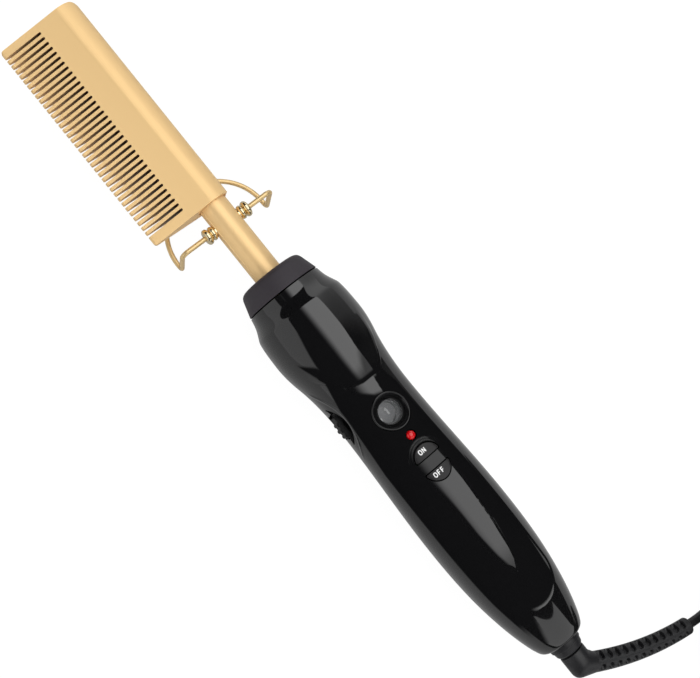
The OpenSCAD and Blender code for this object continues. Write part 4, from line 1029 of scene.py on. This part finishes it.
def dial_number(k):
    """The k-th number on the dial, upright where the window shows it. Text runs along +Y there."""
    turn = math.radians(NUMBER_TURN * k)
    out = np.array([WINDOW_X - WHEEL_X, -WHEEL_Y])

    def lay(p):
        x = out[0] - 0.1 - p[:, 1] * NUMBER_SIZE
        y = out[1] + 1.2 + p[:, 0] * NUMBER_SIZE
        c, s = math.cos(turn), math.sin(turn)
        return np.column_stack([WHEEL_X + c * x - s * y, WHEEL_Y + s * x + c * y,
                                DIAL_TOP + 0.03 + p[:, 2]]) + UP
    return letter(str(k + 1), NUMBER_W, lay)


place("dial_numbers", joined("dial_numbers", [dial_number(k) for k in range(6)]), "wheel",
      "wheel_plastic", ink_white, sharp=40)
for node, colour in (("potentiometer", (52, 92, 140)), ("control_board", (28, 92, 52))):
    paint(node, finish(node + "_body", colour, 0.45, size=0.8, spread=0.1))

# ---------------------------------------------------------------- Lamp
# A red dome in a small hole before the buttons, with a lamp under it on the board.
lamp_red = finish("lamp_red", (206, 16, 24), 0.08, coat=0.6, size=0.7, spread=0.25, bump=0.004)
LAMP_TOP = float(handle_r(LAMP_X)) + 0.45
dome = [(LAMP_TOP - 2.0 * (1 - math.cos(a)) * 0.75, 1.78 * math.sin(a))
        for a in np.linspace(0.001, math.pi / 2, 16)]
dome += [(LAMP_TOP - 4, 1.78), (LAMP_TOP - 4.2, 2.8), (LAMP_TOP - 4.9, 2.8), (LAMP_TOP - 4.9, 0.001)]
place("lamp_dome", skin("lamp_dome", (lathe(dome, 64, "z") + [LAMP_X, 0, 0] + UP) * MM), "handle",
      "lamp_red", lamp_red, "indicator_lens", sharp=40)

# ---------------------------------------------------------------- Buttons
# Two half-round keys of satin grey-black plastic with white ON and OFF. They stand a little
# proud of the tongue and press on the switches below.
BUTTON_UP = 0.35
WORD_SIZE = 0.85                        # half a letter's height
WORD_PITCH = 1.6
WORD_W = 0.42                           # of a letter's strokes


def button_grid(toward):
    """Rings from the middle of the top out to the rim, over a rounded edge and down the side."""
    outline = button_outline(toward)
    middle = outline.mean(0)
    rings = []
    for share in (0.001, 0.25, 0.5, 0.7, 0.85, 0.93):
        ring_at = middle + (outline - middle) * share
        rings.append((ring_at, BUTTON_UP))
    for inset, down in ((0.3, 0.02), (0.17, 0.09), (0.06, 0.24), (0.0, 0.45), (0.0, 3.6)):
        away = unit(outline - middle)
        rings.append((outline - away * inset, BUTTON_UP - down))
    grid = []
    for ring_at, up in rings:
        z = np.sqrt(handle_r(ring_at[:, 0]) ** 2 - ring_at[:, 1] ** 2) + up
        grid.append(np.column_stack([ring_at, z]))
    return np.array(grid) + UP


button_grey = finish("button_plastic", (34, 33, 34), 0.3, size=0.35, spread=0.08, bump=0.006, shine=0.3)
for toward, body, node in ((-1, "on_key", "on_button"), (1, "off_key", "off_button")):
    place(node + "_cap", skin(node + "_cap", button_grid(toward) * MM), body, "button_plastic",
          button_grey, node, sharp=40)


def button_word(word, toward):
    """A word on a button's top: text runs along +Y and its tops point to the comb."""
    made = []
    for k, character in enumerate(word):
        def lay(p, k=k):
            y = (k - (len(word) - 1) / 2) * WORD_PITCH + p[:, 0] * WORD_SIZE - 0.9
            x = BUTTONS_X + toward * (BUTTON_SPACE / 2 + BUTTON_L * 0.46) - p[:, 1] * WORD_SIZE - 0.5
            z = np.sqrt(handle_r(x) ** 2 - y ** 2) + BUTTON_UP + p[:, 2]
            return np.column_stack([x, y, z]) + UP
        made.append(letter(character, WORD_W, lay))
    return joined("word " + word, made)


place("on_word", button_word("ON", -1), "on_key", "button_plastic", ink_white, sharp=40)
place("off_word", button_word("OFF", 1), "off_key", "button_plastic", ink_white, sharp=40)

# ---------------------------------------------------------------- Parts on the board
# Switches, the lamp, capacitors, a triac and leads, seen only with the housing open.
for node, colour, rough, metal in (
        ("tact_switches", (186, 186, 188), 0.35, 0.6), ("indicator_led", (190, 40, 40), 0.3, 0),
        ("board_screws", (190, 190, 194), 0.3, 1), ("capacitor", (150, 110, 44), 0.4, 0),
        ("triac", (38, 38, 42), 0.4, 0), ("mains_leads", (140, 28, 28), 0.5, 0),
        ("swivel_contacts", (196, 178, 120), 0.3, 0.9)):
    paint(node, finish(node + "_body", colour, rough, metal=metal, size=0.6, spread=0.08))

# ---------------------------------------------------------------- Neck ring
# A stepped black ring in the handle's tail, in which the swivel's stem turns.
neck_profile = rounded([(144.3, 5.5), (144.3, 6.5), (146.4, 6.35), (146.6, 5.95), (148.5, 5.6),
                        (149.2, 5.1), (149.2, 3.55), (139.8, 3.55), (139.8, 7.0), (141.7, 7.0),
                        (141.7, 5.75), (144.3, 5.5)], [0.25, 0.25, 0.05, 0.3, 0.15, 0, 0, 0, 0, 0], 5)
flex_black = finish("flex_black", (30, 30, 32), 0.4, size=0.5, spread=0.1, bump=0.006)
place("tail_ring", skin("tail_ring", (lathe(neck_profile, 80) + UP) * MM, caps=False), "handle",
      "flex_black", flex_black, "neck_ring", sharp=32)

# ---------------------------------------------------------------- Swivel elbow
# Soft black PVC moulded round the cord: a mitred elbow with rounded corners whose stem turns in
# the neck. It tapers to the strain relief.
DROOP = math.radians(11)
ELBOW_X = 149.8
ELBOW_R = 5.1
MITRE_X = 155.9
ELBOW_TURN = math.radians(57)
TAPER_L = 5.4
RELIEF_R0, RELIEF_R1 = 3.9, 3.4


def droop(points):
    """The swivel's own frame turned down about the handle's axis, and lifted to its height."""
    p = np.asarray(points, float)
    c, s_ = math.cos(DROOP), math.sin(DROOP)
    return np.stack([p[..., 0], c * p[..., 1] + s_ * p[..., 2], c * p[..., 2] - s_ * p[..., 1]], -1) + UP


def elbow_grid():
    """Rings of lines that run along the stem, turn the corner at the mitre's plane, each with a
    round of its own, and run in to the relief's radius."""
    a = np.linspace(0, 2 * math.pi, 72, endpoint=False)
    y, z = np.cos(a), np.sin(a)
    way = np.array([math.cos(ELBOW_TURN), math.sin(ELBOW_TURN), 0])
    square = np.array([-math.sin(ELBOW_TURN), math.cos(ELBOW_TURN), 0])
    corner = np.column_stack([MITRE_X - ELBOW_R * y * math.tan(ELBOW_TURN / 2), ELBOW_R * y, ELBOW_R * z])
    end = (np.array([MITRE_X, 0, 0]) + TAPER_L * way + RELIEF_R0 * y[:, None] * square
           + RELIEF_R0 * z[:, None] * np.array([0, 0, 1]))
    grid = []
    for x, r in ((135.6, 0.01), (135.6, 4.8), (137.2, 4.8), (137.4, 3.4), (ELBOW_X - 0.02, 3.4),
                 (ELBOW_X, 4.4), (ELBOW_X, ELBOW_R - 0.35), (ELBOW_X + 0.1, ELBOW_R - 0.12),
                 (ELBOW_X + 0.35, ELBOW_R)):
        grid.append(np.column_stack([np.full_like(a, x), r * y, r * z]))
    reach = (1.2 - 0.9 * y)[:, None]
    before, after = corner - reach * [1, 0, 0], corner + reach * unit(end - corner)
    for t in np.linspace(0, 1, 7):
        grid.append((1 - t) ** 2 * before + 2 * t * (1 - t) * corner + t * t * after)
    grid += [after * (1 - t) + end * t for t in (0.35, 0.7, 1.0)]
    return np.array(grid)


place("swivel", skin("swivel", droop(elbow_grid()) * MM), "cord_swivel", "flex_black", flex_black,
      "swivel_elbow", sharp=40)

# ---------------------------------------------------------------- Strain relief
# The same PVC: a bent tapering tube with a row of long slots and a row of short ones on each
# side, and a plain rail between them.
RELIEF_L = 45.0
RELIEF_TURN = math.radians(18.6)
SLOTS = 12
SLOT_PITCH = 3.58
FIRST_SLOT = 1.9
SLOT_DEEP = 1.5
SLOT_W = 1.85


def slot_mask(s, a):
    """1 in a slot and 0 outside, for places along and angles from the top: long slots from -78
    to -8 degrees and short ones from 20 to 56, and the same again underneath."""
    k = np.clip(np.round((s - FIRST_SLOT) / SLOT_PITCH), 0, SLOTS - 1)
    along = np.abs(s - FIRST_SLOT - k * SLOT_PITCH)
    folded = np.where(np.abs(a) > 90, np.sign(a) * (np.abs(a) - 180), a)
    arc_mm = math.radians(1) * RELIEF_R0
    inside = np.zeros_like(folded * along)
    for middle, half in ((-43, 35), (38, 18)):
        beyond = np.maximum(np.abs(folded - middle) - (half - 0.5 * SLOT_W / arc_mm), 0) * arc_mm
        inside = np.maximum(inside, soft_step(SLOT_W / 2 - np.hypot(along, beyond), 0.3))
    return inside


def relief_grid():
    """Rings along the relief's arc. The radius tapers, and is less in the slots."""
    s = np.concatenate([[0.0], np.arange(0.15, RELIEF_L - 0.5, 0.14),
                        RELIEF_L - np.array([0.45, 0.2, 0.07, 0])])
    a = np.linspace(-180, 180, 120, endpoint=False)
    big = RELIEF_L / RELIEF_TURN
    turn = ELBOW_TURN + s / big
    start = np.array([MITRE_X, 0]) + TAPER_L * np.array([math.cos(ELBOW_TURN), math.sin(ELBOW_TURN)])
    middle = start + big * np.array([-math.sin(ELBOW_TURN), math.cos(ELBOW_TURN)])
    line = middle + big * np.column_stack([np.sin(turn), -np.cos(turn)])
    square = np.column_stack([-np.sin(turn), np.cos(turn)])
    r = (RELIEF_R0 + (RELIEF_R1 - RELIEF_R0) * s / RELIEF_L)[:, None] - SLOT_DEEP * slot_mask(s[:, None], a)
    r = r - np.interp(s, RELIEF_L - np.array([0.6, 0.3, 0.1, 0]), [0, 0.06, 0.25, 0.5])[:, None]
    side, top = np.sin(np.radians(a)), np.cos(np.radians(a))
    across = r * side
    return np.stack([line[:, :1] - across * square[:, :1], line[:, 1:] - across * square[:, 1:],
                     r * top], -1)


place("relief", skin("relief", droop(relief_grid()) * MM), "cord_swivel", "flex_black", flex_black,
      "strain_relief", sharp=60)

# ---------------------------------------------------------------- Tie and plug
# A flat tie holds the coil. The moulded two-blade plug lies on it.
tie_black = finish("tie_black", (40, 40, 42), 0.5, size=0.4, spread=0.1)
place("tie", from_solid("cord_tie"), "cord_swivel", "cord_black", tie_black, "cord_tie", width=0.25)
plug_black = finish("plug_black", (24, 24, 26), 0.35, size=0.6, spread=0.1, bump=0.006)
blade_nickel = finish("blade_nickel", (206, 200, 186), 0.2, metal=1.0, size=0.3)
for node, material in (("plug_body", plug_black), ("plug_blades", blade_nickel)):
    paint(node, material)
